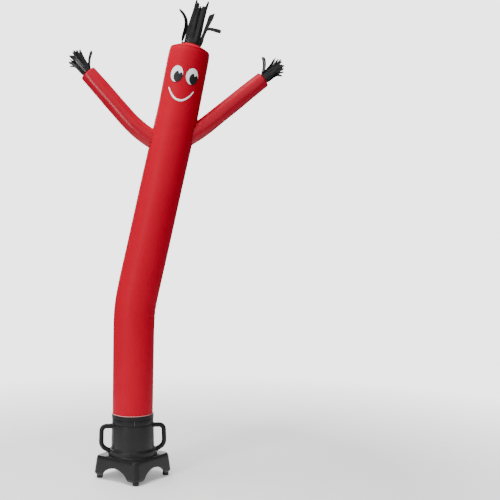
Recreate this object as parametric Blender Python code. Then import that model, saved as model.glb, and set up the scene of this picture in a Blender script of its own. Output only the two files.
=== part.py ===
"""Inflatable air dancer standing on its blower. Metres, +Z up, facing -Y."""

import math

import bpy
import numpy as np

# Clearances and cloth
GAP = 0.0003  # between pieces that touch
CLOTH = 0.0015  # wall of the sewn nylon in the solids
PATCH = 0.001  # wall of a face patch
PATCH_GAP = 0.0005  # between the flat-sided tube and a patch that bends over its corners

# Body tube: outer radius of its sections, from the hem up to the head's shoulder
BODY_SECTIONS = [
    dict(height=0.290, radius=0.1065),
    dict(height=0.342, radius=0.1065),
    dict(height=0.365, radius=0.1080),
    dict(height=0.550, radius=0.1090),
    dict(height=0.750, radius=0.1098),
    dict(height=0.840, radius=0.1105),
    dict(height=0.890, radius=0.1112),
    dict(height=0.930, radius=0.1118),
    dict(height=0.980, radius=0.1125),
    dict(height=1.050, radius=0.1130),
    dict(height=1.300, radius=0.1133),
    dict(height=1.620, radius=0.1133),
    dict(height=1.900, radius=0.1128),
    dict(height=1.940, radius=0.1124),
    dict(height=1.980, radius=0.1112),
    dict(height=2.020, radius=0.1110),
    dict(height=2.232, radius=0.1110),
    dict(height=2.268, radius=0.1100),
    dict(height=2.282, radius=0.1080),
    dict(height=2.292, radius=0.1045),
]
BODY_SIDES = 32
# The tube's axis leans a little from the foot, then turns in two soft bends, in its XZ plane
FOOT_LEAN = dict(height=0.365, slope=0.012)
KNEE = dict(height=0.905, turn=0.2125, softness=0.04)
NECK = dict(height=1.950, turn=-0.03, softness=0.02)
CROWN_DOME = 0.030
VENT_RADIUS = 0.0546

# Sleeves: side, height of their axis on the body's axis, how far it starts to the side, angles above
# level at the root and at the tip, straight root length, bend length, straight tip length, radii
ARMS = [
    dict(name="left", side=-1, height=1.754, start=0.002, root_angle=33.0, tip_angle=49.0,
         root=0.130, bend=0.170, tip=0.308, root_radius=0.0500, tip_radius=0.0460),
    dict(name="right", side=1, height=1.780, start=0.016, root_angle=31.0, tip_angle=38.8,
         root=0.120, bend=0.120, tip=0.358, root_radius=0.0490, tip_radius=0.0435),
]
ARM_SIDES = 20
HAND_VENT = 0.0267

# Strips of hair: angle round the vent (0 to the dancer's picture right, 90 to the back), length,
# lean away from the middle, bend at the tip, where the bend starts and ends, width at the tip, twist
HAIR_BAND_RADIUS = 0.0540
HAIR_ROOT_WIDTH = 0.0150
HAIR_LEAN = 3.5  # degrees that the bundle leans on from the head's axis
HAIR_STRIPS = [
    dict(angle=0, length=0.180, lean=-2, bend=94, start=0.36, end=0.70, tip_width=0.016, twist=68),
    dict(angle=28, length=0.200, lean=8, bend=2, start=0.50, end=1.00, tip_width=0.030, twist=-60),
    dict(angle=52, length=0.204, lean=-2, bend=10, start=0.70, end=1.00, tip_width=0.013, twist=0),
    dict(angle=71, length=0.222, lean=-4, bend=4, start=0.60, end=1.00, tip_width=0.014, twist=0),
    dict(angle=90, length=0.196, lean=-2, bend=2, start=0.60, end=1.00, tip_width=0.013, twist=0),
    dict(angle=109, length=0.214, lean=-4, bend=3, start=0.60, end=1.00, tip_width=0.014, twist=0),
    dict(angle=128, length=0.228, lean=-2, bend=2, start=0.60, end=1.00, tip_width=0.013, twist=0),
    dict(angle=180, length=0.198, lean=-4, bend=64, start=0.30, end=1.00, tip_width=0.008, twist=-68),
    dict(angle=232, length=0.242, lean=-3, bend=2, start=0.60, end=1.00, tip_width=0.014, twist=0),
    dict(angle=251, length=0.212, lean=-4, bend=2, start=0.60, end=1.00, tip_width=0.014, twist=0),
    dict(angle=270, length=0.202, lean=-2, bend=3, start=0.60, end=1.00, tip_width=0.013, twist=0),
    dict(angle=289, length=0.206, lean=-4, bend=4, start=0.60, end=1.00, tip_width=0.014, twist=0),
    dict(angle=308, length=0.234, lean=-1, bend=20, start=0.68, end=1.00, tip_width=0.014, twist=0),
]
# Strips of a hand, in the same columns; 0 lies to the outer, lower side of the sleeve's end
HAND_BAND_RADIUS = 0.0260
HAND_ROOT_WIDTH = 0.0115
HAND_LEAN = -3.0
HAND_STRIPS = [
    dict(angle=0, length=0.098, lean=5, bend=52, start=0.40, end=1.00, tip_width=0.006, twist=60),
    dict(angle=30, length=0.110, lean=2, bend=38, start=0.50, end=1.00, tip_width=0.009, twist=20),
    dict(angle=61, length=0.126, lean=1, bend=18, start=0.55, end=1.00, tip_width=0.011, twist=0),
    dict(angle=92, length=0.118, lean=0, bend=10, start=0.60, end=1.00, tip_width=0.011, twist=0),
    dict(angle=123, length=0.132, lean=0, bend=14, start=0.60, end=1.00, tip_width=0.011, twist=0),
    dict(angle=153, length=0.114, lean=1, bend=22, start=0.60, end=1.00, tip_width=0.010, twist=-20),
    dict(angle=184, length=0.104, lean=42, bend=24, start=0.40, end=1.00, tip_width=0.012, twist=-70),
    dict(angle=215, length=0.122, lean=1, bend=20, start=0.60, end=1.00, tip_width=0.010, twist=20),
    dict(angle=246, length=0.134, lean=0, bend=12, start=0.60, end=1.00, tip_width=0.011, twist=0),
    dict(angle=276, length=0.112, lean=0, bend=14, start=0.60, end=1.00, tip_width=0.011, twist=0),
    dict(angle=305, length=0.128, lean=1, bend=26, start=0.55, end=1.00, tip_width=0.010, twist=0),
    dict(angle=333, length=0.102, lean=3, bend=46, start=0.42, end=1.00, tip_width=0.007, twist=-30),
]
STRIP_STEPS = 6

# Face, on the front of the head: heights are along the head's axis, widths along its skin
EYE_HEIGHT = 2.137
EYE_APART = 0.0834
EYE_HALF = (0.0370, 0.0455)
PUPIL_SHIFT = (0.0072, -0.0156)
PUPIL_HALF = (0.0218, 0.0280)
SMILE_HEIGHT = 2.003
SMILE_HALF_WIDTH = 0.0715
SMILE_RISE = 0.0620
SMILE_STROKE = 0.0100
SMILE_SHIFT = -0.003

# Blower, about its own upright axis
BLOWER_TURN = 8.0  # degrees; at 0 a corner of the foot moulding points straight to the front
FOOT_RADIUS = 0.0165
FOOT_HEIGHT = 0.016
FOOT_REACH = 0.1775
DECK_HEIGHT = 0.121
BASE_WALL = 0.007
BASE_CORNER = 0.028
BASE_SECTIONS = [
    dict(height=FOOT_HEIGHT + GAP, side=0.288),
    dict(height=0.029, side=0.306),
    dict(height=0.103, side=0.2905),
    dict(height=0.115, side=0.2860),
    dict(height=DECK_HEIGHT, side=0.2740),
]
CAVITY_CORNER = 0.085
ARCH_HALF_WIDTH = 0.090
ARCH_HEIGHT = 0.070
ARCH_POWER = 1.8
DUCT_RADIUS = 0.100
HOUSING_SECTIONS = [
    dict(height=DECK_HEIGHT + GAP, radius=0.1270),
    dict(height=0.1450, radius=0.1270),
    dict(height=0.1510, radius=0.1245),
    dict(height=0.1540, radius=0.1185),
    dict(height=0.1590, radius=0.1150),
    dict(height=0.2000, radius=0.1152),
    dict(height=0.2500, radius=0.1135),
    dict(height=0.2820, radius=0.1118),
    dict(height=0.2860, radius=0.1090),
]
NECK_TOP = 0.326
NECK_RADIUS = BODY_SECTIONS[0]["radius"] - CLOTH - GAP
COLLAR_INNER = BODY_SECTIONS[0]["radius"] + GAP
COLLAR_SLEEVE = 0.1090
COLLAR_RIM = 0.1127
COLLAR_TOP = 0.338
RIM_HEIGHT = 0.019
BAND_OUTER = 0.1110
BAND_BOTTOM = 0.2900
BAND_TOP = 0.3155
BAND_SLIT = 0.003
SLOT_SIZE = (0.009, 0.005)
HANDLE_RADIUS = 0.0125
# The handle's centreline: distance from the blower's axis, and height, of its ends and its two bends
HANDLE_CORNERS = [(0.1050, 0.2725), (0.1672, 0.2725), (0.1705, 0.1660), (0.1120, 0.1340)]
HANDLE_BEND = 0.030

# Switch box, on the back of the barrel: x to its own left, y outwards, z up
PAD_FRONT = 0.122
PAD_HALF_WIDTH = 0.058
PAD_LOW, PAD_HIGH = 0.163, 0.285
SCREW_SIDE = 0.0475
SCREW_LOW, SCREW_HIGH = 0.179, 0.274
SCREW_RADIUS = 0.0042
COVER_LOW, COVER_HIGH = 0.184, 0.266
COVER_HALF_WIDTH = 0.050
COVER_FRONT = 0.159
COVER_DRAFT = 0.003
RECESS_RIGHT = -0.036
RECESS_TOP = 0.221
PANEL_FRONT = 0.147
SWITCH_HEIGHT = 0.2025
BEZEL_HALF = (0.0185, 0.0135)
BEZEL_DEPTH = 0.0025
ROCKER_HOLE_HALF = (0.0123, 0.0088)
ROCKER_HALF_HEIGHT = ROCKER_HOLE_HALF[1] - GAP
POCKET_DEPTH = 0.0095
PIVOT_FRONT = PANEL_FRONT + 0.0015
ROCKER_REST = 11.0  # degrees that the rocker is tipped at rest
# The rocker's section about its pivot: x to the side, y outwards
ROCKER_SECTION = [
    (-0.0110, 0.0045), (0.0, 0.0028), (0.0110, 0.0045),
    (0.0110, -0.0015), (0.0040, -0.0072), (-0.0040, -0.0072), (-0.0110, -0.0015),
]
GLAND_PLACE = (0.032, 0.1742)
GLAND_SECTIONS = [
    dict(out=0.0, radius=0.0090),
    dict(out=0.0070, radius=0.0090),
    dict(out=0.0075, radius=0.0076),
    dict(out=0.0170, radius=0.0076),
    dict(out=0.0205, radius=0.0058),
    dict(out=0.0215, radius=0.0030),
]


def clear_scene():
    for obj in list(bpy.data.objects):
        bpy.data.objects.remove(obj)


def finish(name, colour, roughness, metallic=0.0):
    """A plain material of one colour."""
    made = bpy.data.materials.new(name)
    made.use_nodes = True
    shader = made.node_tree.nodes["Principled BSDF"]
    shader.inputs["Base Color"].default_value = (*colour, 1.0)
    shader.inputs["Roughness"].default_value = roughness
    shader.inputs["Metallic"].default_value = metallic
    return made


def volume_of(points, faces):
    """Six times the signed volume of a closed mesh, from fans of triangles."""
    total = 0.0
    for face in faces:
        corner = points[face[0]]
        for b, c in zip(face[1:-1], face[2:]):
            total += np.dot(corner, np.cross(points[b], points[c]))
    return total


def solid(name, points, faces, look, parent, smooth=True):
    """An object from a closed mesh, turned to face outwards."""
    points = np.asarray(points, float)
    faces = [list(face) for face in faces]
    if volume_of(points, faces) < 0:
        faces = [face[::-1] for face in faces]
    mesh = bpy.data.meshes.new(name)
    mesh.from_pydata(points.tolist(), [], faces)
    if smooth:
        mesh.shade_smooth()
        mesh.set_sharp_from_angle(angle=math.radians(35))
    mesh.materials.append(look)
    obj = bpy.data.objects.new(name, mesh)
    bpy.context.scene.collection.objects.link(obj)
    obj.parent = parent
    return obj


def skin(rings, closed=False):
    """Points and faces of a stack of rings, capped at both ends, or closed from the last to the first."""
    rings = np.asarray(rings, float)
    count, around = rings.shape[:2]
    faces = []
    for i in range(count if closed else count - 1):
        low, high = i * around, (i + 1) % count * around
        for j in range(around):
            k = (j + 1) % around
            faces.append((low + j, low + k, high + k, high + j))
    if not closed:
        faces.append(tuple(range(around))[::-1])
        faces.append(tuple(range((count - 1) * around, count * around)))
    return rings.reshape(-1, 3), faces


def cut(target, cutter):
    """Takes the cutter's shape out of the target."""
    modifier = target.modifiers.new("cut_" + cutter.name, "BOOLEAN")
    modifier.operation = "DIFFERENCE"
    modifier.solver = "EXACT"
    modifier.object = cutter
    cutter.hide_render = True
    cutter.display_type = "WIRE"


def circle(radius, sides, height=0.0, phase=0.0):
    turn = np.arange(sides) * 2 * math.pi / sides + phase
    return np.stack([radius * np.cos(turn), radius * np.sin(turn), np.full(sides, height)], axis=1)


def rounded_rectangle(width, depth, corner, steps=4):
    """Points of a rectangle with round corners, in its own plane."""
    points = []
    for i, (sx, sy) in enumerate([(1, 1), (-1, 1), (-1, -1), (1, -1)]):
        for step in range(steps + 1):
            turn = math.radians(90 * (i + step / steps))
            points.append((sx * (width / 2 - corner) + corner * math.cos(turn),
                           sy * (depth / 2 - corner) + corner * math.sin(turn)))
    return np.array(points)


def lathe(sections, inner=None):
    """Rings of a turned part of the blower, its flats in line with the tube's.

    With an inner radius it is a sleeve with a straight bore."""
    rows = [(row["radius"], row["height"]) for row in sections]
    if inner is not None:
        rows += [(inner, sections[-1]["height"]), (inner, sections[0]["height"])]
    return [circle(radius, BODY_SIDES, height, -math.radians(BLOWER_TURN)) for radius, height in rows]


def box_between(name, low, high, look, parent):
    xs, ys, zs = zip(low, high)
    rings = [[(xs[0], ys[0], z), (xs[1], ys[0], z), (xs[1], ys[1], z), (xs[0], ys[1], z)] for z in zs]
    return solid(name, *skin(rings), look, parent, smooth=False)


# Body tube

def soft_bend(height, bend):
    """How far a soft bend has moved the axis sideways: nothing below it, turn times the rise above."""
    rise = (height - bend["height"]) / bend["softness"]
    return bend["turn"] * bend["softness"] * (math.log1p(math.exp(min(rise, 30.0))) + max(rise - 30.0, 0.0))


def body_axis(height):
    lean = FOOT_LEAN["slope"] * max(0.0, height - FOOT_LEAN["height"])
    return np.array([lean + soft_bend(height, KNEE) + soft_bend(height, NECK), 0.0, height])


def body_frame(height):
    """A point of the axis, with the directions to the side, to the back and up along the tube."""
    step = 0.001
    up = body_axis(height + step) - body_axis(height - step)
    up /= np.linalg.norm(up)
    back = np.array([0.0, 1.0, 0.0])
    return body_axis(height), np.cross(back, up), back, up


def ring_at(centre, side, back, radius, sides):
    turn = np.arange(sides) * 2 * math.pi / sides
    return centre + radius * (np.outer(np.cos(turn), side) + np.outer(np.sin(turn), back))


def body_ring(height, radius):
    centre, side, back, _ = body_frame(height)
    return ring_at(centre, side, back, radius, BODY_SIDES)


def body_radius(height):
    heights = [row["height"] for row in BODY_SECTIONS]
    return float(np.interp(height, heights, [row["radius"] for row in BODY_SECTIONS]))


def shell(outer, inner):
    """A sleeve open at both ends, from its outer and inner rings."""
    return skin(list(outer) + list(inner)[::-1], closed=True)


def make_body(look, parent):
    outer = [body_ring(row["height"], row["radius"]) for row in BODY_SECTIONS]
    inner = [body_ring(row["height"], row["radius"] - CLOTH) for row in BODY_SECTIONS]
    return solid("body", *shell(outer, inner), look, parent)


def make_crown(look, parent):
    """The head's domed end panel, with the vent that the hair stands in."""
    top = BODY_SECTIONS[-1]
    centre, side, back, up = body_frame(top["height"])
    steps = 4
    outer, inner = [], []
    for step in range(steps + 1):
        radius = top["radius"] + (VENT_RADIUS - top["radius"]) * step / steps
        rise = CROWN_DOME * (1 - (radius / top["radius"]) ** 2)
        base = centre + up * (rise + GAP)
        outer.append(ring_at(base + up * CLOTH, side, back, radius, BODY_SIDES))
        inner.append(ring_at(base, side, back, radius, BODY_SIDES))
    return solid("crown", *shell(outer, inner), look, parent)


# Sleeves

def arm_axis(arm):
    """Points and headings of a sleeve's axis: straight, one even bend, straight."""
    angles, lengths = [arm["root_angle"]], [arm["root"]]
    steps = 5
    for step in range(steps):
        share = (step + 0.5) / steps
        angles.append(arm["root_angle"] + share * (arm["tip_angle"] - arm["root_angle"]))
        lengths.append(arm["bend"] / steps)
    tip_steps = 3
    for step in range(tip_steps):
        angles.append(arm["tip_angle"])
        lengths.append(arm["tip"] / tip_steps)
    points = [body_axis(arm["height"]) + [arm["start"], 0.0, 0.0]]
    headings = []
    for angle, length in zip(angles, lengths):
        turn = math.radians(angle)
        headings.append(np.array([arm["side"] * math.cos(turn), 0.0, math.sin(turn)]))
        points.append(points[-1] + headings[-1] * length)
    means = [headings[0]] + [a + b for a, b in zip(headings, headings[1:])] + [headings[-1]]
    return points, [mean / np.linalg.norm(mean) for mean in means]


def arm_rings(arm, shrink=0.0):
    points, headings = arm_axis(arm)
    run = np.concatenate([[0.0], np.cumsum([np.linalg.norm(b - a) for a, b in zip(points, points[1:])])])
    back = np.array([0.0, 1.0, 0.0])
    rings = []
    for point, heading, along in zip(points, headings, run):
        share = max(0.0, along - arm["root"]) / (run[-1] - arm["root"])
        radius = arm["root_radius"] + share * (arm["tip_radius"] - arm["root_radius"]) - shrink
        rings.append(ring_at(point, np.cross(back, heading), back, radius, ARM_SIDES))
    return rings


def arm_end(arm):
    """The middle of the sleeve's end, its outer lower side, the back and the way it points."""
    points, headings = arm_axis(arm)
    back = np.array([0.0, 1.0, 0.0])
    lower = np.cross(back, headings[-1]) * arm["side"]
    return points[-1], lower, back, headings[-1]


def make_arm(arm, body, body_core, look, parent):
    name = "arm_" + arm["name"]
    sleeve = solid(name, *shell(arm_rings(arm), arm_rings(arm, CLOTH)), look, parent)
    cut(sleeve, body_core)
    hole = solid(name + "_hole", *skin(arm_rings(arm, CLOTH + GAP)[:2]), look, parent)
    cut(body, hole)


def make_cuff(arm, look, parent):
    """The flat end panel of a sleeve, with a vent for the hand."""
    centre, side, back, up = arm_end(arm)
    low = centre + up * GAP
    high = centre + up * (GAP + CLOTH)
    radius = arm["tip_radius"]
    rings = [ring_at(low, side, back, radius, ARM_SIDES), ring_at(high, side, back, radius, ARM_SIDES)]
    rings += [ring_at(high, side, back, HAND_VENT, ARM_SIDES), ring_at(low, side, back, HAND_VENT, ARM_SIDES)]
    solid("cuff_" + arm["name"], *skin(rings, closed=True), look, parent)


# Bundles of strips

def strip_sections(strip, radius, root_width, frame, top, tilt):
    """Four-cornered sections of one strip, from the band's edge to its tip.

    The strip runs in the plane through the band's axis, its heading turns away from that axis, and
    its width twists about the heading. The whole bundle leans by the tilt to the frame's side."""
    centre, side, back, up = frame
    turn = math.radians(strip["angle"])
    out = side * math.cos(turn) + back * math.sin(turn)
    along_band = back * math.cos(turn) - side * math.sin(turn)
    place = centre + up * top + out * math.sqrt(radius**2 - (root_width / 2) ** 2)
    sections = []
    for step in range(1, STRIP_STEPS + 1):
        share = step / STRIP_STEPS
        bend = min(1.0, max(0.0, (share - strip["start"]) / (strip["end"] - strip["start"])))
        lean = math.radians(strip["lean"] * min(1.0, 3 * share) + strip["bend"] * bend)
        heading = up * math.cos(lean) + out * math.sin(lean) + side * math.tan(math.radians(tilt))
        heading /= np.linalg.norm(heading)
        place = place + heading * strip["length"] / STRIP_STEPS
        face = np.cross(along_band, heading)
        face = face if np.dot(face, out * math.cos(lean) - up * math.sin(lean)) > 0 else -face
        twist = math.radians(strip["twist"]) * min(1.0, 3 * share)
        across = along_band * math.cos(twist) + face * math.sin(twist)
        inward = along_band * math.sin(twist) - face * math.cos(twist)
        half = (root_width + share * (strip["tip_width"] - root_width)) / 2
        rear = place + inward * CLOTH
        sections.append([place - across * half, place + across * half,
                         rear + across * half, rear - across * half])
    return sections


def make_bundle(name, strips, radius, root_width, frame, low, high, tilt, look, parent):
    """A band with a strip standing on its edge at each angle: one closed mesh."""
    centre, side, back, up = frame
    spread = math.asin(root_width / 2 / radius)
    points, faces = [], []
    edges = []
    for strip in strips:
        turn = math.radians(strip["angle"])
        edges += [turn - spread, turn + spread]
    for turn in edges:
        out = side * math.cos(turn) + back * math.sin(turn)
        for reach, height in [(radius, low), (radius, high), (radius - CLOTH, high), (radius - CLOTH, low)]:
            points.append(centre + up * height + out * reach)
    for i in range(len(edges)):
        here, there = 4 * i, 4 * ((i + 1) % len(edges))
        for k in range(4):
            if k == 1 and i % 2 == 0:
                continue  # a strip stands here
            m = (k + 1) % 4
            faces.append((here + k, there + k, there + m, here + m))
    for i, strip in enumerate(strips):
        left, right = 8 * i, 8 * i + 4
        ring = [left + 1, right + 1, right + 2, left + 2]
        for section in strip_sections(strip, radius, root_width, frame, high, tilt):
            start = len(points)
            points += section
            new = [start, start + 1, start + 2, start + 3]
            for k in range(4):
                m = (k + 1) % 4
                faces.append((ring[k], ring[m], new[m], new[k]))
            ring = new
        faces.append(tuple(ring))
    return solid(name, points, faces, look, parent, smooth=False)


# Face patches

def on_face(across, height, lift):
    """A point of the head's front: across is measured along the skin, lift off it."""
    centre, side, back, _ = body_frame(height)
    radius = body_radius(height)
    turn = across / radius
    return centre + (radius + lift) * (side * math.sin(turn) - back * math.cos(turn))


def face_point(middle, offset, lift):
    """The skin point that lies offset (across, along the axis) from a middle given by (across, height)."""
    _, _, _, up = body_frame(middle[1])
    return on_face(middle[0] + offset[0], middle[1] + offset[1] * up[2], lift)


def make_oval(name, middle, half, lift, look, parent, notch=0.0, spokes=24):
    """An oval patch that follows the skin; a notch draws in its rim near the top."""
    turns = np.arange(spokes) * 2 * math.pi / spokes
    rim = 1 - notch * np.exp(-(((turns - math.radians(78)) / 0.24) ** 2))
    shares = [0.30, 0.66, 1.0]
    rings = []
    for level, order in [(lift, shares), (lift + PATCH, shares[::-1])]:
        for share in order:
            rings.append([face_point(middle, (half[0] * share * reach * math.cos(turn),
                                              half[1] * share * reach * math.sin(turn)), level)
                          for turn, reach in zip(turns, rim)])
    return solid(name, *skin(rings), look, parent)


def make_smile(look, parent):
    """A bow-shaped patch: its middle line is a parabola, its stroke is even."""
    steps = 14
    rings = []
    for step in range(steps + 1):
        share = 2 * step / steps - 1
        slope = 2 * SMILE_RISE * share / SMILE_HALF_WIDTH
        normal = np.array([-slope, 1.0]) / math.hypot(slope, 1.0) * SMILE_STROKE / 2
        line = np.array([SMILE_HALF_WIDTH * share, SMILE_RISE * share**2])
        top = PATCH_GAP + PATCH
        corners = [(line - normal, PATCH_GAP), (line + normal, PATCH_GAP),
                   (line + normal, top), (line - normal, top)]
        rings.append([face_point((SMILE_SHIFT, SMILE_HEIGHT), offset, lift) for offset, lift in corners])
    return solid("smile", *skin(rings), look, parent)


def make_face(white, black, parent):
    for name, sign in [("left", -1), ("right", 1)]:
        middle = (sign * EYE_APART / 2, EYE_HEIGHT)
        make_oval("eye_" + name, middle, EYE_HALF, PATCH_GAP, white, parent)
        pupil = (middle[0] + PUPIL_SHIFT[0], middle[1] + PUPIL_SHIFT[1])
        make_oval("pupil_" + name, pupil, PUPIL_HALF, 2 * PATCH_GAP + PATCH, black, parent, notch=0.55)
    make_smile(white, parent)


# Blower

def square_ring(side, corner, height):
    outline = rounded_rectangle(side, side, corner)
    turn = math.radians(45)
    x = outline[:, 0] * math.cos(turn) - outline[:, 1] * math.sin(turn)
    y = outline[:, 0] * math.sin(turn) + outline[:, 1] * math.cos(turn)
    return np.stack([x, y, np.full(len(x), height)], axis=1)


def arch_cutter(name, direction, look, parent):
    """A bar with the arch's outline, through two opposite sides of the foot moulding."""
    reach = 0.2
    steps = 10
    outline = [(-ARCH_HALF_WIDTH, 0.0)]
    for step in range(steps + 1):
        across = math.cos(math.pi * (1 - step / steps))
        rise = (1 - abs(across) ** ARCH_POWER) ** (1 / ARCH_POWER)
        outline.append((across * ARCH_HALF_WIDTH, 0.012 + rise * (ARCH_HEIGHT - 0.012)))
    outline.append((ARCH_HALF_WIDTH, 0.0))
    turn = math.radians(direction)
    along = np.array([math.cos(turn), math.sin(turn), 0.0])
    across = np.array([-math.sin(turn), math.cos(turn), 0.0])
    rings = [[across * x + along * end + [0.0, 0.0, z] for x, z in outline] for end in (-reach, reach)]
    return solid(name, *skin(rings), look, parent, smooth=False)


def make_base(look, parent):
    rings = [square_ring(row["side"], BASE_CORNER, row["height"]) for row in BASE_SECTIONS]
    base = solid("base", *skin(rings), look, parent)
    thin = 2 * BASE_WALL
    low, high = BASE_SECTIONS[1], BASE_SECTIONS[2]
    cavity = [square_ring(low["side"] - thin, CAVITY_CORNER, -0.01),
              square_ring(low["side"] - thin, CAVITY_CORNER, low["height"]),
              square_ring(high["side"] - thin, CAVITY_CORNER, DECK_HEIGHT - BASE_WALL)]
    cut(base, solid("base_cavity", *skin(cavity), look, parent))
    duct = lathe([dict(height=z, radius=DUCT_RADIUS) for z in (0.09, 0.14)])
    cut(base, solid("base_duct", *skin(duct), look, parent))
    for name, direction in [("base_arch_a", 45), ("base_arch_b", 135)]:
        cut(base, arch_cutter(name, direction, look, parent))


def make_feet(look, parent):
    rings = [circle(FOOT_RADIUS - 0.0015, 16, 0.0), circle(FOOT_RADIUS, 16, 0.003),
             circle(FOOT_RADIUS, 16, FOOT_HEIGHT)]
    for i in range(4):
        foot = solid(f"foot_{i + 1}", *skin(rings), look, parent)
        turn = math.radians(90 * i)
        foot.location = (FOOT_REACH * math.cos(turn), FOOT_REACH * math.sin(turn), 0.0)


def make_housing(look, parent):
    neck = [dict(height=HOUSING_SECTIONS[-1]["height"], radius=NECK_RADIUS),
            dict(height=NECK_TOP, radius=NECK_RADIUS)]
    rings = lathe(HOUSING_SECTIONS + neck, inner=DUCT_RADIUS)
    return solid("housing", *skin(rings, closed=True), look, parent)


def housing_core(look, parent):
    """The housing's outside with the gap added, filled, to cut what meets it."""
    sections = [dict(height=row["height"], radius=row["radius"] + GAP) for row in HOUSING_SECTIONS]
    sections[0]["height"] -= 0.01
    sections[-1]["height"] += 0.01
    return solid("housing_core", *skin(lathe(sections)), look, parent)


def make_collar(look, parent):
    bottom = HOUSING_SECTIONS[-1]["height"] + GAP
    rim = COLLAR_TOP - RIM_HEIGHT
    sections = [
        dict(height=bottom, radius=COLLAR_SLEEVE),
        dict(height=rim, radius=COLLAR_SLEEVE),
        dict(height=rim, radius=COLLAR_RIM - 0.0006),
        dict(height=rim + 0.001, radius=COLLAR_RIM),
        dict(height=COLLAR_TOP - 0.001, radius=COLLAR_RIM),
        dict(height=COLLAR_TOP, radius=COLLAR_RIM - 0.001),
    ]
    collar = solid("collar", *skin(lathe(sections, COLLAR_INNER), closed=True), look, parent)
    middle = rim + RIM_HEIGHT * 0.6
    slot = box_between("collar_slot", (-SLOT_SIZE[0] / 2, 0.1, middle - SLOT_SIZE[1] / 2),
                       (SLOT_SIZE[0] / 2, 0.12, middle + SLOT_SIZE[1] / 2), look, parent)
    cut(collar, slot)


def make_clamp_band(look, parent):
    sections = [dict(height=BAND_BOTTOM, radius=BAND_OUTER), dict(height=BAND_TOP, radius=BAND_OUTER)]
    rings = lathe(sections, COLLAR_SLEEVE + GAP)
    band = solid("clamp_band", *skin(rings, closed=True), look, parent)
    slit = box_between("band_slit", (-BAND_SLIT / 2, -0.12, 0.28), (BAND_SLIT / 2, -0.10, 0.33), look, parent)
    cut(band, slit)


def rounded_path(corners, radius, steps=4):
    """A line through the corners whose bends are arcs of one radius."""
    corners = [np.array(corner) for corner in corners]
    path = [corners[0]]
    for before, corner, after in zip(corners, corners[1:], corners[2:]):
        back = (before - corner) / np.linalg.norm(before - corner)
        on = (after - corner) / np.linalg.norm(after - corner)
        half = math.acos(np.dot(back, on)) / 2
        middle = corner + (back + on) / np.linalg.norm(back + on) * radius / math.sin(half)
        start = corner + back * radius / math.tan(half) - middle
        end = corner + on * radius / math.tan(half) - middle
        for step in range(steps + 1):
            mix = start * (1 - step / steps) + end * step / steps
            path.append(middle + mix / np.linalg.norm(mix) * radius)
    return path + [corners[-1]]


def make_handles(core, look, parent):
    path = rounded_path(HANDLE_CORNERS, HANDLE_BEND)
    sides = 12
    back = np.array([0.0, 1.0, 0.0])
    for name, sign in [("handle_left", -1), ("handle_right", 1)]:
        points = [np.array([sign * reach, 0.0, height]) for reach, height in path]
        rings = []
        for i, point in enumerate(points):
            heading = points[min(i + 1, len(points) - 1)] - points[max(i - 1, 0)]
            heading /= np.linalg.norm(heading)
            rings.append(ring_at(point, np.cross(back, heading), back, HANDLE_RADIUS, sides))
        handle = solid(name, *skin(rings), look, parent)
        cut(handle, core)


# Switch box

def outward_ring(outline, x, z, out):
    """An outline drawn in the box's front plane, moved out from the blower's axis."""
    return np.stack([outline[:, 0] + x, np.full(len(outline), out), outline[:, 1] + z], axis=1)


def make_pad(core, look, parent):
    outline = rounded_rectangle(2 * PAD_HALF_WIDTH, PAD_HIGH - PAD_LOW, 0.008, 2)
    middle = (PAD_LOW + PAD_HIGH) / 2
    inner = outline * [(PAD_HALF_WIDTH - 0.002) / PAD_HALF_WIDTH, 1.0]
    rings = [outward_ring(outline, 0.0, middle, out) for out in (0.085, PAD_FRONT - 0.002)]
    rings.append(outward_ring(inner, 0.0, middle, PAD_FRONT))
    pad = solid("switch_pad", *skin(rings), look, parent)
    cut(pad, core)


def make_cover(look, parent):
    height = COVER_HIGH - COVER_LOW
    middle = (COVER_HIGH + COVER_LOW) / 2
    rings = []
    for shrink, out in [(0.0, PAD_FRONT + GAP), (COVER_DRAFT, COVER_FRONT - 0.004),
                        (COVER_DRAFT + 0.004, COVER_FRONT)]:
        outline = rounded_rectangle(2 * (COVER_HALF_WIDTH - shrink), height - 2 * shrink, 0.008, 3)
        rings.append(outward_ring(outline, 0.0, middle, out))
    cover = solid("switch_cover", *skin(rings), look, parent)
    cut(cover, box_between("cover_recess", (RECESS_RIGHT, PANEL_FRONT, COVER_LOW - 0.01),
                           (COVER_HALF_WIDTH + 0.01, COVER_FRONT + 0.01, RECESS_TOP), look, parent))
    half_x, half_z = ROCKER_HOLE_HALF
    cut(cover, box_between("cover_pocket", (-half_x, PANEL_FRONT - POCKET_DEPTH, SWITCH_HEIGHT - half_z),
                           (half_x, COVER_FRONT, SWITCH_HEIGHT + half_z), look, parent))


def make_switch(bezel_look, rocker_look, parent):
    outer = rounded_rectangle(2 * BEZEL_HALF[0], 2 * BEZEL_HALF[1], 0.003, 2)
    hole = rounded_rectangle(2 * ROCKER_HOLE_HALF[0], 2 * ROCKER_HOLE_HALF[1], 0.0004, 2)
    back, front = PANEL_FRONT + GAP, PANEL_FRONT + BEZEL_DEPTH
    rings = [outward_ring(outline, 0.0, SWITCH_HEIGHT, out)
             for outline, out in [(outer, back), (outer, front), (hole, front), (hole, back)]]
    solid("bezel", *skin(rings, closed=True), bezel_look, parent, smooth=False)
    turn = math.radians(ROCKER_REST)
    section = [(x * math.cos(turn) - y * math.sin(turn), x * math.sin(turn) + y * math.cos(turn))
               for x, y in ROCKER_SECTION]
    rings = [[(x, y, z) for x, y in section] for z in (-ROCKER_HALF_HEIGHT, ROCKER_HALF_HEIGHT)]
    rocker = solid("rocker", *skin(rings), rocker_look, parent, smooth=False)
    rocker.location = (0.0, PIVOT_FRONT, SWITCH_HEIGHT)


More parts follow.
